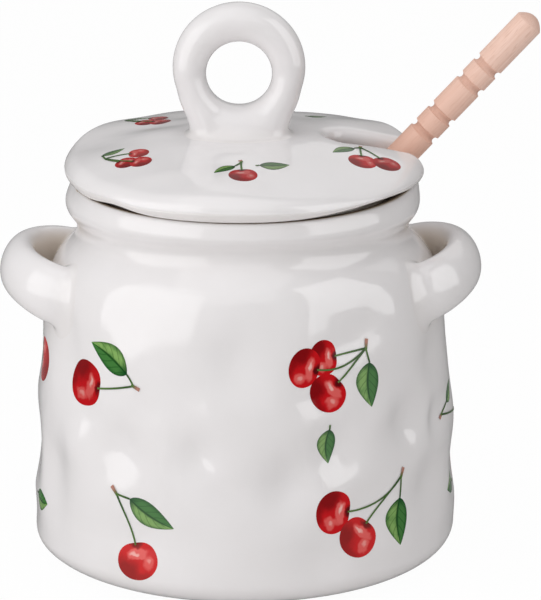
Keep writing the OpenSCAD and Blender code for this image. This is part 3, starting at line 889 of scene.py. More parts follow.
def makeKnob():
    a, s = around(knob["steps"])[:, None], around(knob["sides"])[None, :]
    topZ = lid["topZ"]
    out, deep, blunt = knobSize(a)
    half = (out - knob["hole"]) / 2
    r = knob["hole"] + half + half * np.cos(s)
    y = deep * np.sign(np.sin(s)) * np.abs(np.sin(s)) ** blunt
    ring = np.stack([r * np.sin(a), y, holeZ - r * np.cos(a)], 2)
    shape = bmesh.new()
    verts = [[shape.verts.new(p) for p in row] for row in ring]
    for row, after in zip(verts, verts[1:] + verts[:1]):
        for j in range(len(row)):
            k = (j + 1) % len(row)
            shape.faces.new((row[j], row[k], after[k], after[j]))
    everything = shape.verts[:] + shape.edges[:] + shape.faces[:]
    bmesh.ops.bisect_plane(
        shape, geom=everything, plane_co=(0, 0, topZ + knob["cut"]), plane_no=(0, 0, 1), clear_inner=True)
    border = [e for e in shape.edges if e.is_boundary]
    rim = sorted({v for e in border for v in e.verts}, key=lambda v: math.atan2(v.co.y, v.co.x))
    turn = np.array([math.atan2(v.co.y, v.co.x) for v in rim])
    c, s, count = np.cos(turn), np.sin(turn), len(rim)
    soft = knob["fillet"] * mix(1.0, knob["endFillet"], c ** 2)
    # below the cut the foot is drawn in level slices that flare onto the lid
    rows = [rim]
    for h in knob["cut"] * (1 - np.sin(np.linspace(0, math.pi / 2, knob["slices"] + 1)[1:])):
        level = np.full(count, topZ + h)
        far = np.full(count, knob["search"])
        low = farthest(lambda r: knobInside(r * c, r * s, level), np.zeros(count), far)
        up = np.clip(1 - h / soft, 0, 1)
        reach = low + soft * (1 - np.sqrt(1 - up ** 2))
        x, y = reach * c, reach * s
        ground = lidTop(x + knob["shift"], y) - topZ
        z = level + ground * up - knob["press"] * up ** 4
        rows.append([shape.verts.new(p) for p in zip(x, y, z)])
    rows.append([shape.verts.new((v.co.x, v.co.y, v.co.z - knob["sink"])) for v in rows[-1]])
    for upper, lower in zip(rows, rows[1:]):
        for j in range(count):
            k = (j + 1) % count
            shape.faces.new((upper[j], lower[j], lower[k], upper[k]))
    shape.faces.new(rows[-1][::-1])
    bmesh.ops.recalc_face_normals(shape, faces=shape.faces[:])
    shape.verts.index_update()
    points = [(v.co.x + knob["shift"], v.co.y, v.co.z) for v in shape.verts]
    faces = [tuple(v.index for v in f.verts) for f in shape.faces]
    shape.free()
    # painted shade and pooled glaze at the knob's foot
    poolAndShade = [knob["poolAndShade"] * math.exp(-((p[2] - topZ) / knob["poolAndShadeSpread"]) ** 2) for p in points]
    return makePiece("ring_knob_glazed", points, faces, [whiteGlaze], poolAndShade)


knobPiece = makeKnob()
print("knob blended onto the lid:", len(knobPiece.data.polygons), "faces")


# the dipper: a turned stick with pairs of grooves, and the grooved head on its lower end
dipper = {
    "origin": (-49.3976, 5.0, 15.25),
    "lean": 47.20205,
    "radius": 4.28,
    "tipZ": 196.5,
    "tipHeight": 2.5,
    "glued": 0.6,  # how far the stick goes into the head
    "grooveStart": 20.0,
    "groovePair": 7.1,
    "groovePitch": 19.3,
    "groovePairs": 2,
    "grooveWidth": 2.3,
    "grooveDepth": 0.95,
    "headTop": 33.0,
    "headRadius": 10.5,
    "headWidest": 0.4,  # share of the head's height
    "endRadius": 7.0,
    "coreRadius": 5.0,
    "collar": 0.8,
    "headGrooves": 5,
    "honeyWidth": 2.6,
    "discRound": 0.45,  # sanded corners of the discs
    "grooveRound": 0.5,
    "topRound": 0.4,
    "headSides": 96,
    "headSharp": 50,
    "stickRings": 1100,
    "stickSides": 48,
    "stickSharp": 30,
}
stickTurn = math.radians(90 - dipper["lean"])

# Beech turned on a lathe, sanded and left bare: pale pinkish tan, fine straight fibres along
# the stick, short darker flecks and a dry satin surface
beech = {
    "light": "#F6D4C5",
    "warm": "#ECC3B0",
    "fleck": "#D6A891",
    "lower": "#E4AF98",  # redder towards the bottom
    "shadeAndEndGrainTint": "#B98670",  # painted shade in the grooves, and the darker end grain
    "roughness": 0.55,
    "ior": 1.48,
    "fibreWidth": 0.45,
    "fibreLength": 22,
    "fibreDetail": 4.0,
    "fibreDepth": 0.03,
    "fleckWidth": 0.35,
    "fleckLength": 3.2,
    "fleckDetail": 0.0,
    # where each tint comes in, from none to full, and how far it then covers
    "warmRange": (0.3, 0.72, 1.0),
    "fleckRange": (0.62, 0.74, 0.35),
    "lowerRange": (0.185, 0.13, 0.85),  # metres up the stick
}
beechWood, tree = startMaterial("turnedBeech")
place = addNode(tree, "ShaderNodeTexCoord").outputs["Object"]
alongStick = addNode(tree, "ShaderNodeMapping", {
    "Vector": place, "Location": [v * mm for v in dipper["origin"]],
    "Rotation": (0, stickTurn, 0)}, vector_type="TEXTURE").outputs[0]
grains = []
for label in ("fibre", "fleck"):
    width, length = perMetre(beech[label + "Width"]), perMetre(beech[label + "Length"])
    space = addNode(tree, "ShaderNodeMapping", {"Vector": alongStick, "Scale": (width, width, length)})
    grain = addNode(tree, "ShaderNodeTexNoise", {
        "Vector": space.outputs[0], "Scale": 1.0, "Detail": beech[label + "Detail"], "Roughness": 0.6})
    grains.append(grain.outputs["Fac"])
fibre, fleck = grains
upStick = addNode(tree, "ShaderNodeSeparateXYZ", {0: alongStick}).outputs["Z"]
tints = []
for tint, source in (("warm", fibre), ("fleck", fleck), ("lower", upStick)):
    none, full, cover = beech[tint + "Range"]
    mask = addNode(tree, "ShaderNodeMapRange", {
        "Value": source, "From Min": none, "From Max": full, "To Max": cover})
    tints.append((mask.outputs[0], beech[tint]))
# painted shade in the grooves, and the darker end grain of the tip
groove = addNode(tree, "ShaderNodeAttribute", attribute_name="groove").outputs["Fac"]
tinted = layTints(tree, toLinear(beech["light"]), tints + [(groove, beech["shadeAndEndGrainTint"])])
woodBump = addNode(tree, "ShaderNodeBump", {"Height": fibre, "Distance": beech["fibreDepth"] * mm})
finishMaterial(tree, {
    "Base Color": tinted, "Roughness": beech["roughness"], "IOR": beech["ior"],
    "Normal": woodBump.outputs[0]})


def startTree(name, values):
    # a tree with one named input for each value
    tree = bpy.data.node_groups.new(name, "GeometryNodeTree")
    kinds = {float: "Float", int: "Int", bpy.types.Object: "Object", bpy.types.Material: "Material"}
    tree.interface.new_socket("Geometry", in_out="INPUT", socket_type="NodeSocketGeometry")
    for label, value in values.items():
        kind = next(kinds[known] for known in kinds if isinstance(value, known))
        tree.interface.new_socket(label, in_out="INPUT", socket_type="NodeSocket" + kind)
    tree.interface.new_socket("Geometry", in_out="OUTPUT", socket_type="NodeSocketGeometry")
    return tree, addNode(tree, "NodeGroupInput").outputs


def useTree(piece, label, tree, values):
    # the tree's named inputs are set by identifier
    modifier = piece.modifiers.new(label, "NODES")
    modifier.node_group = tree
    for item in tree.interface.items_tree:
        if item.in_out == "INPUT" and item.name in values:
            modifier[item.identifier] = values[item.name]


def bakeTree(piece):
    # the evaluated shape becomes a plain mesh and the modifiers go
    graph = bpy.context.evaluated_depsgraph_get()
    solved = piece.evaluated_get(graph)
    mesh = bpy.data.meshes.new_from_object(solved, preserve_all_data_layers=True, depsgraph=graph)
    piece.modifiers.clear()
    piece.data = mesh
    return mesh


# how the lathe finds the radius at a height z: result, operation and what it takes
latheSteps = [
    ("grooveTop", "SUBTRACT", "Tip", "Groove Start"),
    ("down", "SUBTRACT", "grooveTop", "z"),
    ("pitches", "DIVIDE", "down", "Groove Pitch"),
    ("rounded", "ADD", "pitches", 0.25),
    ("whole", "FLOOR", "rounded"),
    ("lastPair", "SUBTRACT", "Groove Pairs", 1.0),
    ("notPast", "MINIMUM", "whole", "lastPair"),
    ("pair", "MAXIMUM", "notPast", 0.0),
    ("pairDown", "MULTIPLY", "pair", "Groove Pitch"),
    ("local", "SUBTRACT", "down", "pairDown"),
    ("toFirst", "ABSOLUTE", "local"),
    ("pastFirst", "SUBTRACT", "local", "Groove Pair"),
    ("toSecond", "ABSOLUTE", "pastFirst"),
    ("nearest", "MINIMUM", "toFirst", "toSecond"),
    ("halfWidth", "MULTIPLY", "Groove Width", 0.5),
    ("across", "DIVIDE", "nearest", "halfWidth"),
    ("acrossSquared", "POWER", "across", 2.0),
    ("left", "SUBTRACT", 1.0, "acrossSquared"),
    ("inGroove", "MAXIMUM", "left", 0.0),
    ("bowl", "SQRT", "inGroove"),
    ("hollow", "MULTIPLY", "bowl", "Groove Depth"),
    ("body", "SUBTRACT", "Radius", "hollow"),
    ("tipStart", "SUBTRACT", "Tip", "Tip Height"),
    ("overTip", "SUBTRACT", "z", "tipStart"),
    ("tipShare", "DIVIDE", "overTip", "Tip Height"),
    ("inTip", "MAXIMUM", "tipShare", 0.0),
    ("rise", "MINIMUM", "inTip", 0.9995),
    ("closing", "SUBTRACT", 1.0, "rise"),
    ("crown", "SQRT", "closing"),
    ("turnedTo", "MULTIPLY", "body", "crown"),
    # and how dark it is painted there: shade in the grooves, and the darker end grain
    ("bowlSquared", "POWER", "bowl", 2.0),
    ("cut", "MULTIPLY", "bowlSquared", 0.4),
    ("tipGrain", "POWER", "rise", 0.3),
    ("endGrain", "MULTIPLY", "tipGrain", 0.3),
    ("shadeAndEndGrain", "MAXIMUM", "cut", "endGrain"),
]


def turnedStickTree(values):
    # a line down the lathe whose radius dips in every groove and closes over the tip
    tree, given = startTree("turnedStick", values)
    bottom = addNode(tree, "ShaderNodeCombineXYZ", {"Z": given["Low"]})
    top = addNode(tree, "ShaderNodeCombineXYZ", {"Z": given["Tip"]})
    line = addNode(tree, "GeometryNodeCurvePrimitiveLine", {
        "Start": bottom.outputs[0], "End": top.outputs[0]})
    rings = addNode(tree, "GeometryNodeResampleCurve", {"Curve": line.outputs[0], "Count": given["Rings"]})
    here = addNode(tree, "GeometryNodeInputPosition")
    known = {label: given[label] for label in values}
    known["z"] = addNode(tree, "ShaderNodeSeparateXYZ", {0: here.outputs[0]}).outputs["Z"]
    for result, operation, *taken in latheSteps:
        sockets = {i: known.get(value, value) for i, value in enumerate(taken)}
        known[result] = addNode(tree, "ShaderNodeMath", sockets, operation=operation).outputs[0]
    marked = addNode(tree, "GeometryNodeStoreNamedAttribute", {
        "Geometry": rings.outputs[0], "Name": "groove",
        "Value": known["shadeAndEndGrain"]}, data_type="FLOAT", domain="POINT")
    circle = addNode(tree, "GeometryNodeCurvePrimitiveCircle", {"Resolution": given["Sides"], "Radius": 1.0})
    turned = addNode(tree, "GeometryNodeCurveToMesh", {
        "Curve": marked.outputs[0], "Profile Curve": circle.outputs[0], "Scale": known["turnedTo"],
        "Fill Caps": True})
    rounded = addNode(tree, "GeometryNodeSetShadeSmooth", {"Geometry": turned.outputs[0]})
    real = addNode(tree, "GeometryNodeRealizeInstances", {"Geometry": rounded.outputs[0]})
    wood = addNode(tree, "GeometryNodeSetMaterial", {"Geometry": real.outputs[0], "Material": given["Wood"]})
    addNode(tree, "NodeGroupOutput", {0: wood.outputs[0]})
    return tree


def leanOver(mesh):
    # from the lathe to its place in the jar
    co = np.zeros(len(mesh.vertices) * 3, np.float32)
    mesh.vertices.foreach_get("co", co)
    x, y, z = co.reshape(-1, 3).T
    c, s = math.cos(stickTurn), math.sin(stickTurn)
    moved = np.stack([x * c + z * s, y, z * c - x * s], 1) + np.array(dipper["origin"]) * mm
    mesh.vertices.foreach_set("co", moved.astype(np.float32).ravel())
    mesh.update()


def makeStick():
    values = {
        "Low": (dipper["headTop"] - dipper["glued"]) * mm, "Tip": dipper["tipZ"] * mm,
        "Groove Pairs": dipper["groovePairs"], "Rings": dipper["stickRings"], "Sides": dipper["stickSides"],
        "Wood": beechWood}
    for label, size in (
            ("Radius", "radius"), ("Tip Height", "tipHeight"), ("Groove Start", "grooveStart"),
            ("Groove Pair", "groovePair"), ("Groove Pitch", "groovePitch"), ("Groove Width", "grooveWidth"),
            ("Groove Depth", "grooveDepth")):
        values[label] = dipper[size] * mm
    piece = addObject("dipper_stick_turned", bpy.data.meshes.new("dipper_stick_turned"))
    useTree(piece, "lathe", turnedStickTree(values), values)
    leanOver(bakeTree(piece))
    piece.data.set_sharp_from_angle(angle=math.radians(dipper["stickSharp"]))
    return piece


def makeHead():
    top, end, core = dipper["headTop"], dipper["endRadius"], dipper["coreRadius"]
    widest = dipper["headWidest"] * top

    def bulge(z):
        low, high, t = end, dipper["headRadius"], max(0, z) / widest
        if z >= widest:
            low, high, t = dipper["headRadius"], core + dipper["collar"], (z - widest) / (top - widest)
        return mix(low, high, (1 - math.cos(math.pi * t)) / 2)

    pitch = top / (dipper["headGrooves"] + 0.5)
    soft, inner, brim = dipper["discRound"], dipper["grooveRound"], dipper["topRound"]
    rows = [arc(0, 0, end, end, -87, -8, 14)]
    for g in range(dipper["headGrooves"]):
        low, high, after = g * pitch, g * pitch + dipper["honeyWidth"], (g + 1) * pitch
        rows.append(arc(bulge(low) - soft, low - soft, soft, soft, 0, 90, 5))
        rows.append([(core + inner, low), (core, low + inner), (core, high - inner), (core + inner, high)])
        rows.append(arc(bulge(high) - soft, high + soft, soft, soft, -90, 0, 5))
        rows.append([(bulge(z), z) for z in np.linspace(high + 2 * soft, after - 2 * soft, 5)])
    rows.append([(bulge(top - brim), top - brim), (bulge(top) - brim, top)])
    r, z = np.concatenate(rows).T
    a = around(dipper["headSides"])
    rings = np.stack([np.outer(r, np.cos(a)), np.outer(r, np.sin(a)), np.repeat(z[:, None], len(a), 1)], 2)
    points, faces = skin(rings, (0, 0, -end), (0, 0, top))
    piece = makePiece("dipper_head_turned", points, faces, [beechWood])
    piece.data.set_sharp_from_angle(angle=math.radians(dipper["headSharp"]))
    leanOver(piece.data)
    return piece


stickPiece = makeStick()
headPiece = makeHead()
print("dipper turned:", len(stickPiece.data.polygons) + len(headPiece.data.polygons), "faces")


# Ceramic colours printed and fired into the glaze: as glossy as the glaze, washed on in soft patches
inkFinish = {"Roughness": 0.1, "IOR": glaze["ior"], "Specular IOR Level": 0.12}
veilAndShadeTint = "#564A48"  # painted reflection and shade: the lid's print is greyed and darker
cherryInk = {
    "deep": "#7E060C",
    "red": "#C8121A",
    "rosy": "#E66A66",
    "shine": "#F8CFC6",
    "pit": "#3A050A",
    "washSize": 2.6,
    "washDetail": 2.0,
    "brush": 0.42,  # how far the wash pushes the patches about
    # patches of wash: middle, reach from full to none, squeeze of x and y, colour, strength
    "washes": [
        ((-0.75, -0.5), (0.35, 0.95), (1.0, 0.9), "deep", 0.95),
        ((0.1, -0.95), (0.15, 0.5), (0.6, 1.0), "deep", 0.7),
        ((0.05, 0.36), (0.26, 0.4), (0.6, 1.2), "rosy", 0.85),
        ((0.5, -0.16), (0.2, 0.36), (1.1, 0.8), "rosy", 0.75),
        ((-0.12, 0.38), (0.06, 0.2), (0.6, 1.4), "shine", 0.75),
        ((0.5, -0.1), (0.04, 0.16), (1.1, 0.8), "shine", 0.4),
        ((0.02, 0.86), (0.14, 0.34), (0.8, 1.2), "pit", 0.9),
    ],
    # from cherry to cherry: end of the tone, colour, strength
    "tones": [(0.0, "deep", 0.3), (1.0, "rosy", 0.22)],
}
leafInk = {
    "dark": "#2C5234",
    "green": "#4C7C46",
    "light": "#86AB66",
    "vein": "#26452B",
    "washSize": 2.2,
    "washDetail": 2.0,
    "litRange": (0.1, 0.55),
    "veins": 5.5,  # pairs of side veins along a leaf
    "veinSlant": -0.28,
    # soft edges over a leaf from -1 to 1 across and 0 to 1 along: where they start and end, cover
    "half": (-0.25, 0.35, 1.0),
    "base": (0.25, 0.0, 1.0),
    "rim": (0.6, 1.0, 0.7),
    "sideVein": (0.14, 0.02, 0.45),
    "midrib": (0.16, 0.03, 0.85),
    "contrast": (-0.15, 0.1),  # from leaf to leaf
}
stemInk = {"green": "#5C7A42", "shade": "#3C5634", "tip": "#B07F70", "tipRange": (0.2, 0.7)}
printValues = ("spot", "tone", "veilAndShade")  # stored at the print's points

cherryPrint, tree = startMaterial("cherryPrintInGlaze")
spot, tone, veilAndShade = (
    addNode(tree, "ShaderNodeAttribute", attribute_name=label).outputs for label in printValues)
place = addNode(tree, "ShaderNodeTexCoord").outputs["Object"]
wash = addNode(tree, "ShaderNodeTexNoise", {
    "Vector": place, "Scale": perMetre(cherryInk["washSize"]), "Detail": cherryInk["washDetail"]})
washed = addNode(tree, "ShaderNodeVectorMath", {
    0: wash.outputs["Color"], 1: (0.5, 0.5, 0.5)}, operation="SUBTRACT")
brushed = addNode(tree, "ShaderNodeVectorMath", {
    0: washed.outputs[0], "Scale": cherryInk["brush"]}, operation="SCALE")
moved = addNode(tree, "ShaderNodeVectorMath", {0: spot["Vector"], 1: brushed.outputs[0]}, operation="ADD")
tints = []
for middle, (full, none), squeeze, ink, strength in cherryInk["washes"]:
    offset = addNode(tree, "ShaderNodeVectorMath", {
        0: moved.outputs[0], 1: (*middle, 0)}, operation="SUBTRACT")
    squeezed = addNode(tree, "ShaderNodeVectorMath", {
        0: offset.outputs[0], 1: (*squeeze, 0)}, operation="MULTIPLY")
    far = addNode(tree, "ShaderNodeVectorMath", {0: squeezed.outputs[0]}, operation="LENGTH")
    mask = addNode(tree, "ShaderNodeMapRange", {
        "Value": far.outputs["Value"], "From Min": full, "From Max": none,
        "To Min": strength, "To Max": 0.0}, interpolation_type="SMOOTHSTEP")
    tints.append((mask.outputs[0], cherryInk[ink]))
for end, ink, strength in cherryInk["tones"]:
    mask = addNode(tree, "ShaderNodeMapRange", {
        "Value": tone["Fac"], "From Min": 0.5, "From Max": end, "To Max": strength})
    tints.append((mask.outputs[0], cherryInk[ink]))
# the lid's print greyed and darkened: painted reflection and shade
tinted = layTints(tree, toLinear(cherryInk["red"]), tints + [(veilAndShade["Fac"], veilAndShadeTint)])
finishMaterial(tree, {"Base Color": tinted, **inkFinish})

leafPrint, tree = startMaterial("leafPrintInGlaze")
spot, tone, veilAndShade = (
    addNode(tree, "ShaderNodeAttribute", attribute_name=label).outputs for label in printValues)
place = addNode(tree, "ShaderNodeTexCoord").outputs["Object"]
wash = addNode(tree, "ShaderNodeTexNoise", {
    "Vector": place, "Scale": perMetre(leafInk["washSize"]), "Detail": leafInk["washDetail"]})
axes = addNode(tree, "ShaderNodeSeparateXYZ", {0: spot["Vector"]}).outputs
side = addNode(tree, "ShaderNodeMath", {0: axes["X"]}, operation="ABSOLUTE").outputs[0]
slant = addNode(tree, "ShaderNodeMath", {
    0: side, 1: leafInk["veinSlant"], 2: axes["Y"]}, operation="MULTIPLY_ADD")
veinWave = addNode(tree, "ShaderNodeMath", {0: slant.outputs[0], 1: leafInk["veins"]}, operation="MULTIPLY")
veinSaw = addNode(tree, "ShaderNodeMath", {0: veinWave.outputs[0], 1: 0.5}, operation="PINGPONG").outputs[0]
soft = {}
for label, measure in (
        ("half", axes["X"]), ("base", axes["Y"]), ("rim", side), ("sideVein", veinSaw), ("midrib", side)):
    start, end, cover = leafInk[label]
    soft[label] = addNode(tree, "ShaderNodeMapRange", {
        "Value": measure, "From Min": start, "From Max": end,
        "To Max": cover}, interpolation_type="SMOOTHSTEP").outputs[0]
patchy = addNode(tree, "ShaderNodeMath", {0: soft["half"], 1: wash.outputs["Fac"]}, operation="MULTIPLY")
lit = addNode(tree, "ShaderNodeMapRange", {
    "Value": patchy.outputs[0], "From Min": leafInk["litRange"][0], "From Max": leafInk["litRange"][1]})
veins = addNode(tree, "ShaderNodeMath", {0: soft["sideVein"], 1: soft["midrib"]}, operation="MAXIMUM")
tinted = layTints(tree, toLinear(leafInk["green"]), [
    (lit.outputs[0], leafInk["light"]), (soft["base"], leafInk["dark"]), (soft["rim"], leafInk["dark"]),
    (veins.outputs[0], leafInk["vein"])])
shade = addNode(tree, "ShaderNodeMapRange", {
    "Value": tone["Fac"], "To Min": leafInk["contrast"][0], "To Max": leafInk["contrast"][1]})
toned = addNode(tree, "ShaderNodeBrightContrast", {
    "Color": tinted, "Bright": 0.0, "Contrast": shade.outputs[0]})
# the lid's print greyed and darkened: painted reflection and shade
tinted = layTints(tree, toned.outputs[0], [(veilAndShade["Fac"], veilAndShadeTint)])
finishMaterial(tree, {"Base Color": tinted, **inkFinish})

stemPrint, tree = startMaterial("stemPrintInGlaze")
spot = addNode(tree, "ShaderNodeAttribute", attribute_name="spot").outputs["Vector"]
axes = addNode(tree, "ShaderNodeSeparateXYZ", {0: spot}).outputs
tipMask = addNode(tree, "ShaderNodeMapRange", {
    "Value": axes["Y"], "From Min": stemInk["tipRange"][0], "From Max": stemInk["tipRange"][1]})
tinted = layTints(tree, toLinear(stemInk["green"]), [
    (axes["X"], stemInk["shade"]), (tipMask.outputs[0], stemInk["tip"])])
finishMaterial(tree, {"Base Color": tinted, **inkFinish})


def flatShape(name, rows, spots, closed):
    # a flat shape for the print, drawn as rows of points, with its own -1..1 coordinates
    count = len(rows[0])
    points = [(x, y, 0) for row in rows for x, y in row]
    faces = gridFaces(len(rows), count, closed)
    if closed:
        faces.append(tuple(range(len(points) - count, len(points))))
    mesh = bpy.data.meshes.new(name)
    mesh.from_pydata(points, [], faces)
    storeValues(mesh, "spot", np.array([(x, y, 0) for row in spots for x, y in row], np.float32))
    return addObject(name, mesh)


# shares of the cherry's and the leaf's own size
cherryForm = {
    "points": 40,
    "rings": 8,
    "innermost": 0.12,
    "oval": 0.03,
    "dip": 0.05,
    "dipSpread": 20,
    "shoulder": 0.03,
    "shoulderTurn": 45,
    "shoulderSpread": 22,
}
leafForm = {
    "across": 9,
    "along": 22,
    "curve": 0.85,
    "fullness": 1.16,
    "narrowing": 0.25,
    "point": 0.02,
    "bow": 0.1,
    "hook": 0.12,
}


def cherryShape():
    # round, a little broader at the shoulders, with a dip where the stem goes in
    turn = around(cherryForm["points"])
    up = np.abs(apart(np.degrees(turn), 90))
    dip = cherryForm["dip"] * np.exp(-(up / cherryForm["dipSpread"]) ** 2)
    beside = (up - cherryForm["shoulderTurn"]) / cherryForm["shoulderSpread"]
    shoulders = cherryForm["shoulder"] * np.exp(-beside ** 2)
    radius = 0.5 * (1 + cherryForm["oval"] * np.cos(2 * turn) - dip + shoulders)
    circle = np.stack([np.cos(turn), np.sin(turn)], 1)
    shares = np.linspace(1, cherryForm["innermost"], cherryForm["rings"])
    return flatShape(
        "cherry_shape", [share * radius[:, None] * circle for share in shares],
        [share * circle for share in shares], True)


def leafShape():
    # pointed at both ends, fullest below the middle and a little bowed
    rows, spots = [], []
    across = np.linspace(-1, 1, leafForm["across"])
    for t in np.linspace(0, 1, leafForm["along"]):
        half = leafForm["point"]
        if 0 < t < 1:
            full = math.sin(math.pi * t ** leafForm["curve"]) ** leafForm["curve"]
            half = full * (1 - leafForm["narrowing"] * t) * leafForm["fullness"]
        half = 0.5 * half
        bow = leafForm["bow"] * math.sin(math.pi * t) - leafForm["hook"] * t * t
        level = np.full(len(across), t)
        rows.append(np.stack([bow + half * across, level], 1))
        spots.append(np.stack([across, level], 1))
    return flatShape("leaf_shape", rows, spots, False)


# sprigs in millimetres from the knot where the stems meet: fruit is x, y, width, height, turn of the
# stem end and the way its stem leaves; a leaf is its base, its tip and its width
lidThree = [(9.6, 0.8, 6.4, 6.2, 178, 178), (6.2, -5.2, 6.6, 6.4, 150, 150), (10.4, -6.0, 6.6, 6.4, 160, 160)]
sprigs = {
    "triple": {
        "fruit": [
            (-14.7, -0.8, 10.2, 9.4, 3, 3), (-20.6, -3.1, 11.4, 10.0, -12, -12),
            (-13.4, -11.2, 11.2, 10.8, 41, 41)],
        "leaf": ((0.8, -4.2), (-0.4, -16.9), 7.8), "twig": (0.6, 2.6)},
    "pair": {
        "fruit": [(-23.6, -6.4, 12.4, 11.4, -6, -6), (-15.8, -15.2, 12.2, 11.6, 50, 50)],
        "leaf": ((-0.6, -6.4), (-1.6, -20.5), 8.2), "twig": (1.2, 2.3)},
    "side": {
        "fruit": [(-19.6, -2.9, 12.8, 14.8, -4, 10)],
        "leaf": ((-2.4, 3.0), (-16.6, 10.4), 7.6), "twig": (2.2, -0.8)},
    "edge": {
        "fruit": [(-18.7, -3.3, 12.6, 13.6, -20, 10)],
        "leaf": ((2.4, 3.0), (15.0, 9.0), 7.0), "twig": (2.2, -0.8)},
    "far": {
        "fruit": [(26.0, -5.0, 12.4, 11.6, 170, 170)],
        "leaf": ((4.6, 2.6), (11.6, 7.0), 4.6), "twig": (-1.2, -0.9)},
    "hanging": {
        "fruit": [(7.1, -19.0, 12.6, 11.4, 104, 104)],
        "leaf": ((4.6, -0.7), (18.0, -8.4), 7.2), "twig": (-1.9, 1.9)},
    "leaf": {"fruit": [], "leaf": ((0, -1.5), (-1.2, -11.4), 6.0), "twig": None},
    "lidLeaf": {"fruit": [], "leaf": ((0, -0.8), (-0.8, -6.6), 3.6), "twig": None},
    "frontLeaf": {"fruit": [], "leaf": ((0, -1.2), (-1.0, -9.8), 5.0), "twig": None},
    "lidBunch": {"fruit": lidThree, "leaf": ((1.4, 1.4), (5.0, 3.6), 2.2), "twig": None},
    "lidTriple": {"fruit": lidThree, "leaf": ((-1.0, 3.2), (5.6, 6.4), 3.4), "twig": None},
    "lidOne": {
        "fruit": [(0.5, -9.0, 8.0, 8.4, 96, 96)],
        "leaf": ((-1.8, -2.6), (-8.0, -6.6), 3.6), "twig": (-0.4, 1.0)},
    "lidPair": {
        "fruit": [(0.6, -9.8, 8.0, 8.2, 95, 95), (7.6, -8.4, 7.8, 8.0, 130, 130)],
        "leaf": ((-1.6, -1.2), (-8.2, -6.0), 3.8), "twig": (0.2, 1.0)},
}
# on the wall: sprig, turn in degrees, height, tilt, mirrored
wallPrint = [
    ("triple", 307.2, 75.1, 0, 1), ("leaf", 294.9, 54.6, 0, 1), ("pair", 317.8, 35.3, 0, 1),
    ("side", 238.3, 65.1, 0, 1), ("hanging", 233.6, 32.6, 0, 1), ("edge", 174.4, 65, 0, -1),
    ("leaf", 190, 20.7, 90, 1), ("far", 343.2, 46.2, 0, 1), ("leaf", 356.5, 22, -90, 1),
    ("pair", 30, 30, 6, 1), ("side", 52, 70, -6, -1), ("triple", 95, 73, 0, -1), ("leaf", 86, 50, 12, 1),
    ("hanging", 84, 33, 0, 1), ("pair", 138, 34, 0, -1), ("side", 151, 67, 0, 1), ("leaf", 122, 50, -10, 1),
]
# on the lid: sprig, x, y, tilt, mirrored
lidPrint = [
    ("lidOne", -0.4, -27.6, 0, 1), ("frontLeaf", 3.6, -30.2, 104, 1), ("lidPair", 33.6, -7.9, 0, 1),
    ("lidTriple", -39.5, -15.4, 0, 1), ("lidBunch", -34.8, 26.2, 0, 1), ("lidLeaf", 18.0, 25.0, 110, 1),
    ("lidPair", 6, 42, 12, -1), ("leaf", -12, 38, 60, 1),
]
printing = {
    "wrapRadius": 60.0,
    "lift": 0.03,
    "step": 0.02,  # from one layer of ink to the next
    "film": 0.06,
    "wallSeed": 3042,
    "lidSeed": 8,
    # share of painted reflection and shade over the lid's print
    "lidVeilAndShade": 0.25,
    # from where the print is pressed on: out from the jar's middle, and above the table
    "wallStart": 90.0,
    "lidStart": 200.0,
    "pressReach": 300.0,
    "dip": 0.4,  # share of a cherry's height from its middle to where the stem goes in
    "bow": 0.5,
    "leafBow": (0.45, 0.6),
    "twigStops": (-0.3, 0.4, 1.0),  # along the twig, from the knot
    "stemWide": (0.26, 0.3),  # half widths at the start and the end
    "leafStemWide": (0.28, 0.28),
    "twigWide": (0.4, 0.56),
    "stemLayer": 4,
    "twigLayer": 8,
    "stemSteps": 13,
    "sharp": 45,
}
cherryKind, leafKind, stemKind = range(3)


def layOut(entries, onWall, seed):
    # points for fruit and leaves and lines for stems, laid flat in the print's own plane
    dice = random.Random(seed)
    points, stems = [], []
    for name, u, v, tilt, hand in entries:
        a = math.radians(tilt)
        middle = (math.radians(u) * printing["wrapRadius"], v) if onWall else (u, v)

        def at(x, y):
            x = x * hand
            c, s = math.cos(a), math.sin(a)
            return (middle[0] + x * c - y * s, middle[1] + x * s + y * c)

        sprig = sprigs[name]
        for layer, (x, y, wide, tall, turn, leaving) in enumerate(sprig["fruit"]):
            d, way = math.radians(turn), math.radians(leaving)
            spin = math.atan2(math.sin(d), hand * math.cos(d)) + a - math.pi / 2
            points.append((*at(x, y), cherryKind, spin, wide, tall, dice.random(), layer))
            # the stem bows out of the dip towards the knot
            dip = printing["dip"] * tall
            top = (x + dip * math.cos(d), y + dip * math.sin(d))
            far = math.hypot(*top) * printing["bow"]
            bow = (top[0] + far * math.cos(way), top[1] + far * math.sin(way))
            route = [at(*top), at(*bow), at(0, 0)]
            stems.append((route, printing["stemWide"], printing["stemLayer"] + layer))
        base, tip, wide = sprig["leaf"]
        p, q = at(*base), at(*tip)
        spin = math.atan2(q[1] - p[1], q[0] - p[0]) - math.pi / 2
        points.append((*p, leafKind, spin, wide * hand, math.dist(p, q), dice.random(), 1))
        bow = [b * share for b, share in zip(base, printing["leafBow"])]
        route = [at(0, 0), at(*bow), p]
        stems.append((route, printing["leafStemWide"], printing["stemLayer"]))
        if sprig["twig"]:
            x, y = sprig["twig"]
            route = [at(share * x, share * y) for share in printing["twigStops"]]
            stems.append((route, printing["twigWide"], printing["twigLayer"]))
    return points, stems


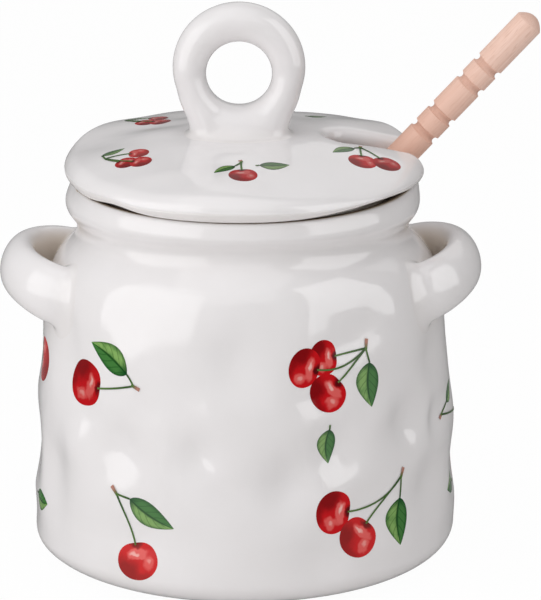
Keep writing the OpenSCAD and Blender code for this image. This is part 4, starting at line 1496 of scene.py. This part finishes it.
def stemLines(name, stems):
    data = bpy.data.curves.new(name, "CURVE")
    data.dimensions = "3D"
    for route, (startWide, endWide), layer in stems:
        spline = data.splines.new("POLY")
        spline.points.add(printing["stemSteps"])
        for i, point in enumerate(spline.points):
            t = i / printing["stemSteps"]
            x, y = bent(*np.array(route), t)
            point.co = (x * mm, y * mm, layer * printing["step"] * mm, 1)
            point.radius = mix(startWide, endWide, t)
    return addObject(name, data)


def stemRibbons(tree, given):
    # flat ribbons along the stem lines, marked for their ink
    lines = addNode(tree, "GeometryNodeObjectInfo", {"Object": given["Stems"]})
    upright = addNode(tree, "GeometryNodeSetCurveNormal", {"Curve": lines.outputs["Geometry"]}, mode="Z_UP")
    factor = addNode(tree, "GeometryNodeSplineParameter").outputs["Factor"]
    wide = addNode(tree, "GeometryNodeInputRadius").outputs[0]
    # a twig is wider than any stem, which tells its tip
    twig = addNode(tree, "ShaderNodeMapRange", {
        "Value": wide, "From Min": printing["twigWide"][0], "From Max": printing["twigWide"][1]})
    along = addNode(tree, "ShaderNodeCombineXYZ", {"X": factor, "Y": twig.outputs[0]})
    marked = addNode(tree, "GeometryNodeStoreNamedAttribute", {
        "Geometry": upright.outputs[0], "Name": "spot",
        "Value": along.outputs[0]}, data_type="FLOAT_VECTOR", domain="POINT")
    named = addNode(tree, "GeometryNodeStoreNamedAttribute", {
        "Geometry": marked.outputs[0], "Name": "kind", "Value": stemKind}, data_type="INT", domain="POINT")
    ribbon = addNode(tree, "GeometryNodeCurvePrimitiveLine", {"Start": (1, 0, 0), "End": (-1, 0, 0)})
    halfWidth = addNode(tree, "ShaderNodeMath", {0: wide, 1: given["Stem Half Width"]}, operation="MULTIPLY")
    drawn = addNode(tree, "GeometryNodeCurveToMesh", {
        "Curve": named.outputs[0], "Profile Curve": ribbon.outputs[0], "Scale": halfWidth.outputs[0]})
    return drawn.outputs[0]


def pressFrom(tree, given, here, onWall):
    # from where, and which way, each point of the flat print is pressed on
    if not onWall:
        above = addNode(tree, "ShaderNodeCombineXYZ", {"X": here["X"], "Y": here["Y"], "Z": given["Start"]})
        return above.outputs[0], (0, 0, -1)
    # rolled round the jar and pressed straight in
    turn = addNode(tree, "ShaderNodeMath", {0: here["X"], 1: given["Wrap Radius"]}, operation="DIVIDE")
    east, north = (
        addNode(tree, "ShaderNodeMath", {0: turn.outputs[0]}, operation=operation).outputs[0]
        for operation in ("COSINE", "SINE"))
    outward = addNode(tree, "ShaderNodeCombineXYZ", {"X": east, "Y": north}).outputs[0]
    far, toward = (
        addNode(tree, "ShaderNodeVectorMath", {0: outward, "Scale": scale}, operation="SCALE").outputs[0]
        for scale in (given["Start"], -1.0))
    level = addNode(tree, "ShaderNodeCombineXYZ", {"Z": here["Y"]}).outputs[0]
    beside = addNode(tree, "ShaderNodeVectorMath", {0: far, 1: level}, operation="ADD")
    return beside.outputs[0], toward


def printTree(name, onWall, values):
    # fruit and leaves set on points, stems drawn along lines, all then pressed onto the carrier
    tree, given = startTree(name, values)
    kind, spin, size = (
        addNode(tree, "GeometryNodeInputNamedAttribute", {"Name": label}, data_type=sort).outputs[0]
        for label, sort in (("kind", "INT"), ("spin", "FLOAT"), ("size", "FLOAT_VECTOR")))
    picked = []
    for number in (cherryKind, leafKind, stemKind):
        same = addNode(tree, "FunctionNodeCompare", {2: kind, 3: number}, data_type="INT", operation="EQUAL")
        picked.append(same.outputs[0])
    euler = addNode(tree, "ShaderNodeCombineXYZ", {"Z": spin})
    turned = addNode(tree, "FunctionNodeEulerToRotation", {0: euler.outputs[0]})
    parts = []
    for number, label in ((cherryKind, "Cherry"), (leafKind, "Leaf")):
        shape = addNode(tree, "GeometryNodeObjectInfo", {"Object": given[label]})
        scattered = addNode(tree, "GeometryNodeInstanceOnPoints", {
            "Points": given["Geometry"], "Selection": picked[number], "Instance": shape.outputs["Geometry"],
            "Rotation": turned.outputs[0], "Scale": size})
        parts.append(scattered.outputs[0])
    parts.append(stemRibbons(tree, given))
    joined = addNode(tree, "GeometryNodeJoinGeometry")
    for part in parts[::-1]:
        tree.links.new(part, joined.inputs[0])
    real = addNode(tree, "GeometryNodeRealizeInstances", {"Geometry": joined.outputs[0]})
    position = addNode(tree, "GeometryNodeInputPosition").outputs[0]
    here = addNode(tree, "ShaderNodeSeparateXYZ", {0: position}).outputs
    source, toward = pressFrom(tree, given, here, onWall)
    carrier = addNode(tree, "GeometryNodeObjectInfo", {"Object": given["Carrier"]})
    hit = addNode(tree, "GeometryNodeRaycast", {
        "Target Geometry": carrier.outputs["Geometry"], "Source Position": source, "Ray Direction": toward,
        "Ray Length": given["Reach"]}).outputs
    height = addNode(tree, "ShaderNodeMath", {0: here["Z"], 1: given["Lift"]}, operation="ADD")
    lift = addNode(tree, "ShaderNodeVectorMath", {
        0: hit["Hit Normal"], "Scale": height.outputs[0]}, operation="SCALE")
    pressed = addNode(tree, "ShaderNodeVectorMath", {
        0: hit["Hit Position"], 1: lift.outputs[0]}, operation="ADD")
    wrapped = addNode(tree, "GeometryNodeSetPosition", {
        "Geometry": real.outputs[0], "Position": pressed.outputs[0]})
    last = addNode(tree, "GeometryNodeSetShadeSmooth", {"Geometry": wrapped.outputs[0]})
    for selection, label in zip(picked, ("Cherry Ink", "Leaf Ink", "Stem Ink")):
        last = addNode(tree, "GeometryNodeSetMaterial", {
            "Geometry": last.outputs[0], "Selection": selection, "Material": given[label]})
    addNode(tree, "NodeGroupOutput", {0: last.outputs[0]})
    return tree


def makePrint(name, entries, onWall, carrier, veilAndShade, seed):
    points, stems = layOut(entries, onWall, seed)
    x, y, kind, spin, wide, tall, tone, layer = np.array(points).T
    mesh = bpy.data.meshes.new(name)
    mesh.from_pydata(np.stack([x * mm, y * mm, layer * printing["step"] * mm], 1).tolist(), [], [])
    storeValues(mesh, "kind", kind.astype(np.int32))
    for label, values in (
            ("spin", spin), ("tone", tone), ("veilAndShade", np.full(len(x), veilAndShade)),
            ("size", np.stack([wide * mm, tall * mm, np.ones(len(x))], 1))):
        storeValues(mesh, label, values.astype(np.float32))
    piece = addObject(name, mesh)
    helpers = [cherryShape(), leafShape(), stemLines(name + "_stems", stems)]
    values = {
        "Cherry": helpers[0], "Leaf": helpers[1], "Stems": helpers[2], "Carrier": carrier,
        "Lift": printing["lift"] * mm, "Wrap Radius": printing["wrapRadius"] * mm,
        "Start": printing["wallStart" if onWall else "lidStart"] * mm, "Reach": printing["pressReach"] * mm,
        "Stem Half Width": mm, "Cherry Ink": cherryPrint, "Leaf Ink": leafPrint, "Stem Ink": stemPrint}
    useTree(piece, "press", printTree(name + "_press", onWall, values), values)
    film = piece.modifiers.new("film", "SOLIDIFY")
    film.thickness = printing["film"] * mm
    film.offset = -1
    bakeTree(piece)
    piece.data.set_sharp_from_angle(angle=math.radians(printing["sharp"]))
    for helper in helpers:
        bpy.data.objects.remove(helper)
    return piece


jarPrint = makePrint("jar_cherry_print", wallPrint, True, jarPiece, 0.0, printing["wallSeed"])
lidPrintPiece = makePrint(
    "lid_cherry_print", lidPrint, False, lidPiece, printing["lidVeilAndShade"], printing["lidSeed"])
print("print fired on:", len(jarPrint.data.polygons) + len(lidPrintPiece.data.polygons), "faces")

for piece, body, node, slot in (
        (jarPiece, "jar", "jar_body", "glaze"), (leftEar, "jar", "left_handle", "glaze"),
        (rightEar, "jar", "right_handle", "glaze"), (lidPiece, "lid", "lid", "lid_glaze"),
        (knobPiece, "lid", "lid_knob", "lid_glaze"), (stickPiece, "dipper", "dipper_stick", "beech"),
        (headPiece, "dipper", "dipper_head", "beech")):
    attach(piece, body)
    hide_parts(node)
for piece, body, slot in ((jarPrint, "jar", "glaze"), (lidPrintPiece, "lid", "lid_glaze")):
    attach(piece, body)

# pale floor and soft studio light
studio = {
    "floorSize": 14.0,
    "floorDrop": 0.0002,
    "floor": "#F2F1F0",
    "floorRoughness": 0.9,
    "floorWhite": 0.975,  # share of plain white that the camera sees in the floor
    "mirrorShare": 0.2,  # how bright that white is in reflections
    "skyDiffuse": 0.5,
    "aim": (0, 0, 0.075),
    "standing": 0.6,  # a box lower than this stands upright
    # direction right of the camera, middle height, distance, width, height of the box, watts
    "boxes": {
        "keyBox": (-54, 0.365, 0.55, 0.62, 0.7, 1.4),
        "frontBox": (0, 0.75, 1.0, 0.8, 0.6, 1.12),
        "windowBox": (66, 0.42, 0.55, 0.5, 0.5, 0.14),
        "topBox": (-15, 1.0, 0.3, 0.9, 0.9, 2.15),
    },
    # brighter windows, for their reflection only
    "shines": {
        "keyShine": (-54, 0.28, 0.54, 0.62, 0.5, 0.95),
        "windowShine": (66, 0.405, 0.5, 0.5, 0.69, 2.35),
        "backShine": (150, 0.74, 0.75, 1.0, 0.5, 0.95),
    },
}


def whiteSeen(tree):
    # 1 for rays from the camera, a mirror or glass, and how bright white is to them
    rays = addNode(tree, "ShaderNodeLightPath").outputs
    mirrored = addNode(tree, "ShaderNodeMath", {
        0: rays["Is Glossy Ray"], 1: rays["Is Transmission Ray"]}, operation="ADD").outputs[0]
    seen = addNode(tree, "ShaderNodeMath", {0: mirrored, 1: rays["Is Camera Ray"]}, operation="ADD")
    bright = addNode(tree, "ShaderNodeMath", {
        0: mirrored, 1: studio["mirrorShare"], 2: rays["Is Camera Ray"]}, operation="MULTIPLY_ADD")
    return seen.outputs[0], bright.outputs[0]


# Matt paper sheet, plain white to the camera, softly shaded by light
paperFloor, tree = startMaterial("paperFloor")
seen, bright = whiteSeen(tree)
paper = addNode(tree, "ShaderNodeBsdfPrincipled", {
    "Base Color": toLinear(studio["floor"]), "Roughness": studio["floorRoughness"]})
share = addNode(tree, "ShaderNodeMath", {0: seen, 1: studio["floorWhite"]}, operation="MULTIPLY")
glow = addNode(tree, "ShaderNodeEmission", {"Color": (1, 1, 1, 1), "Strength": bright})
blend = addNode(tree, "ShaderNodeMixShader", {0: share.outputs[0], 1: paper.outputs[0], 2: glow.outputs[0]})
addNode(tree, "ShaderNodeOutputMaterial", {"Surface": blend.outputs[0]})
half = studio["floorSize"] / 2
sheet = bpy.data.meshes.new("floor")
corners = [(-half, -half, 0), (half, -half, 0), (half, half, 0), (-half, half, 0)]
sheet.from_pydata(corners, [], [(0, 1, 2, 3)])
sheet.materials.append(paperFloor)
floor = addObject("floor", sheet)
floor.location.z = -studio["floorDrop"]

world = bpy.data.worlds.new("studio")
scene.world = world
world.use_nodes = True
tree = world.node_tree
tree.nodes.clear()
seen, bright = whiteSeen(tree)
level = addNode(tree, "ShaderNodeMix", {0: seen, 2: studio["skyDiffuse"], 3: bright}, data_type="FLOAT")
sky = addNode(tree, "ShaderNodeBackground", {"Color": (1, 1, 1, 1), "Strength": level.outputs[0]})
addNode(tree, "ShaderNodeOutputWorld", {"Surface": sky.outputs[0]})


def addBox(name, place, shineOnly):
    across, up, far, wide, tall, watts = place
    a = math.radians(across)
    lamp = bpy.data.lights.new(name, "AREA")
    lamp.shape = "RECTANGLE"
    lamp.size, lamp.size_y, lamp.energy = wide, tall, watts
    box = addObject(name, lamp)
    box.location = Vector((math.sin(a) * far, -math.cos(a) * far, up))
    toward = box.location - Vector(studio["aim"])
    if up < studio["standing"]:
        toward.z = 0
    box.rotation_euler = toward.to_track_quat("Z", "Y").to_euler()
    box.visible_camera = False
    box.visible_diffuse = not shineOnly


for group in ("boxes", "shines"):
    for name, place in studio[group].items():
        addBox(name, place, group == "shines")
print("studio lit with", len(studio["boxes"]), "boxes and", len(studio["shines"]), "shines")
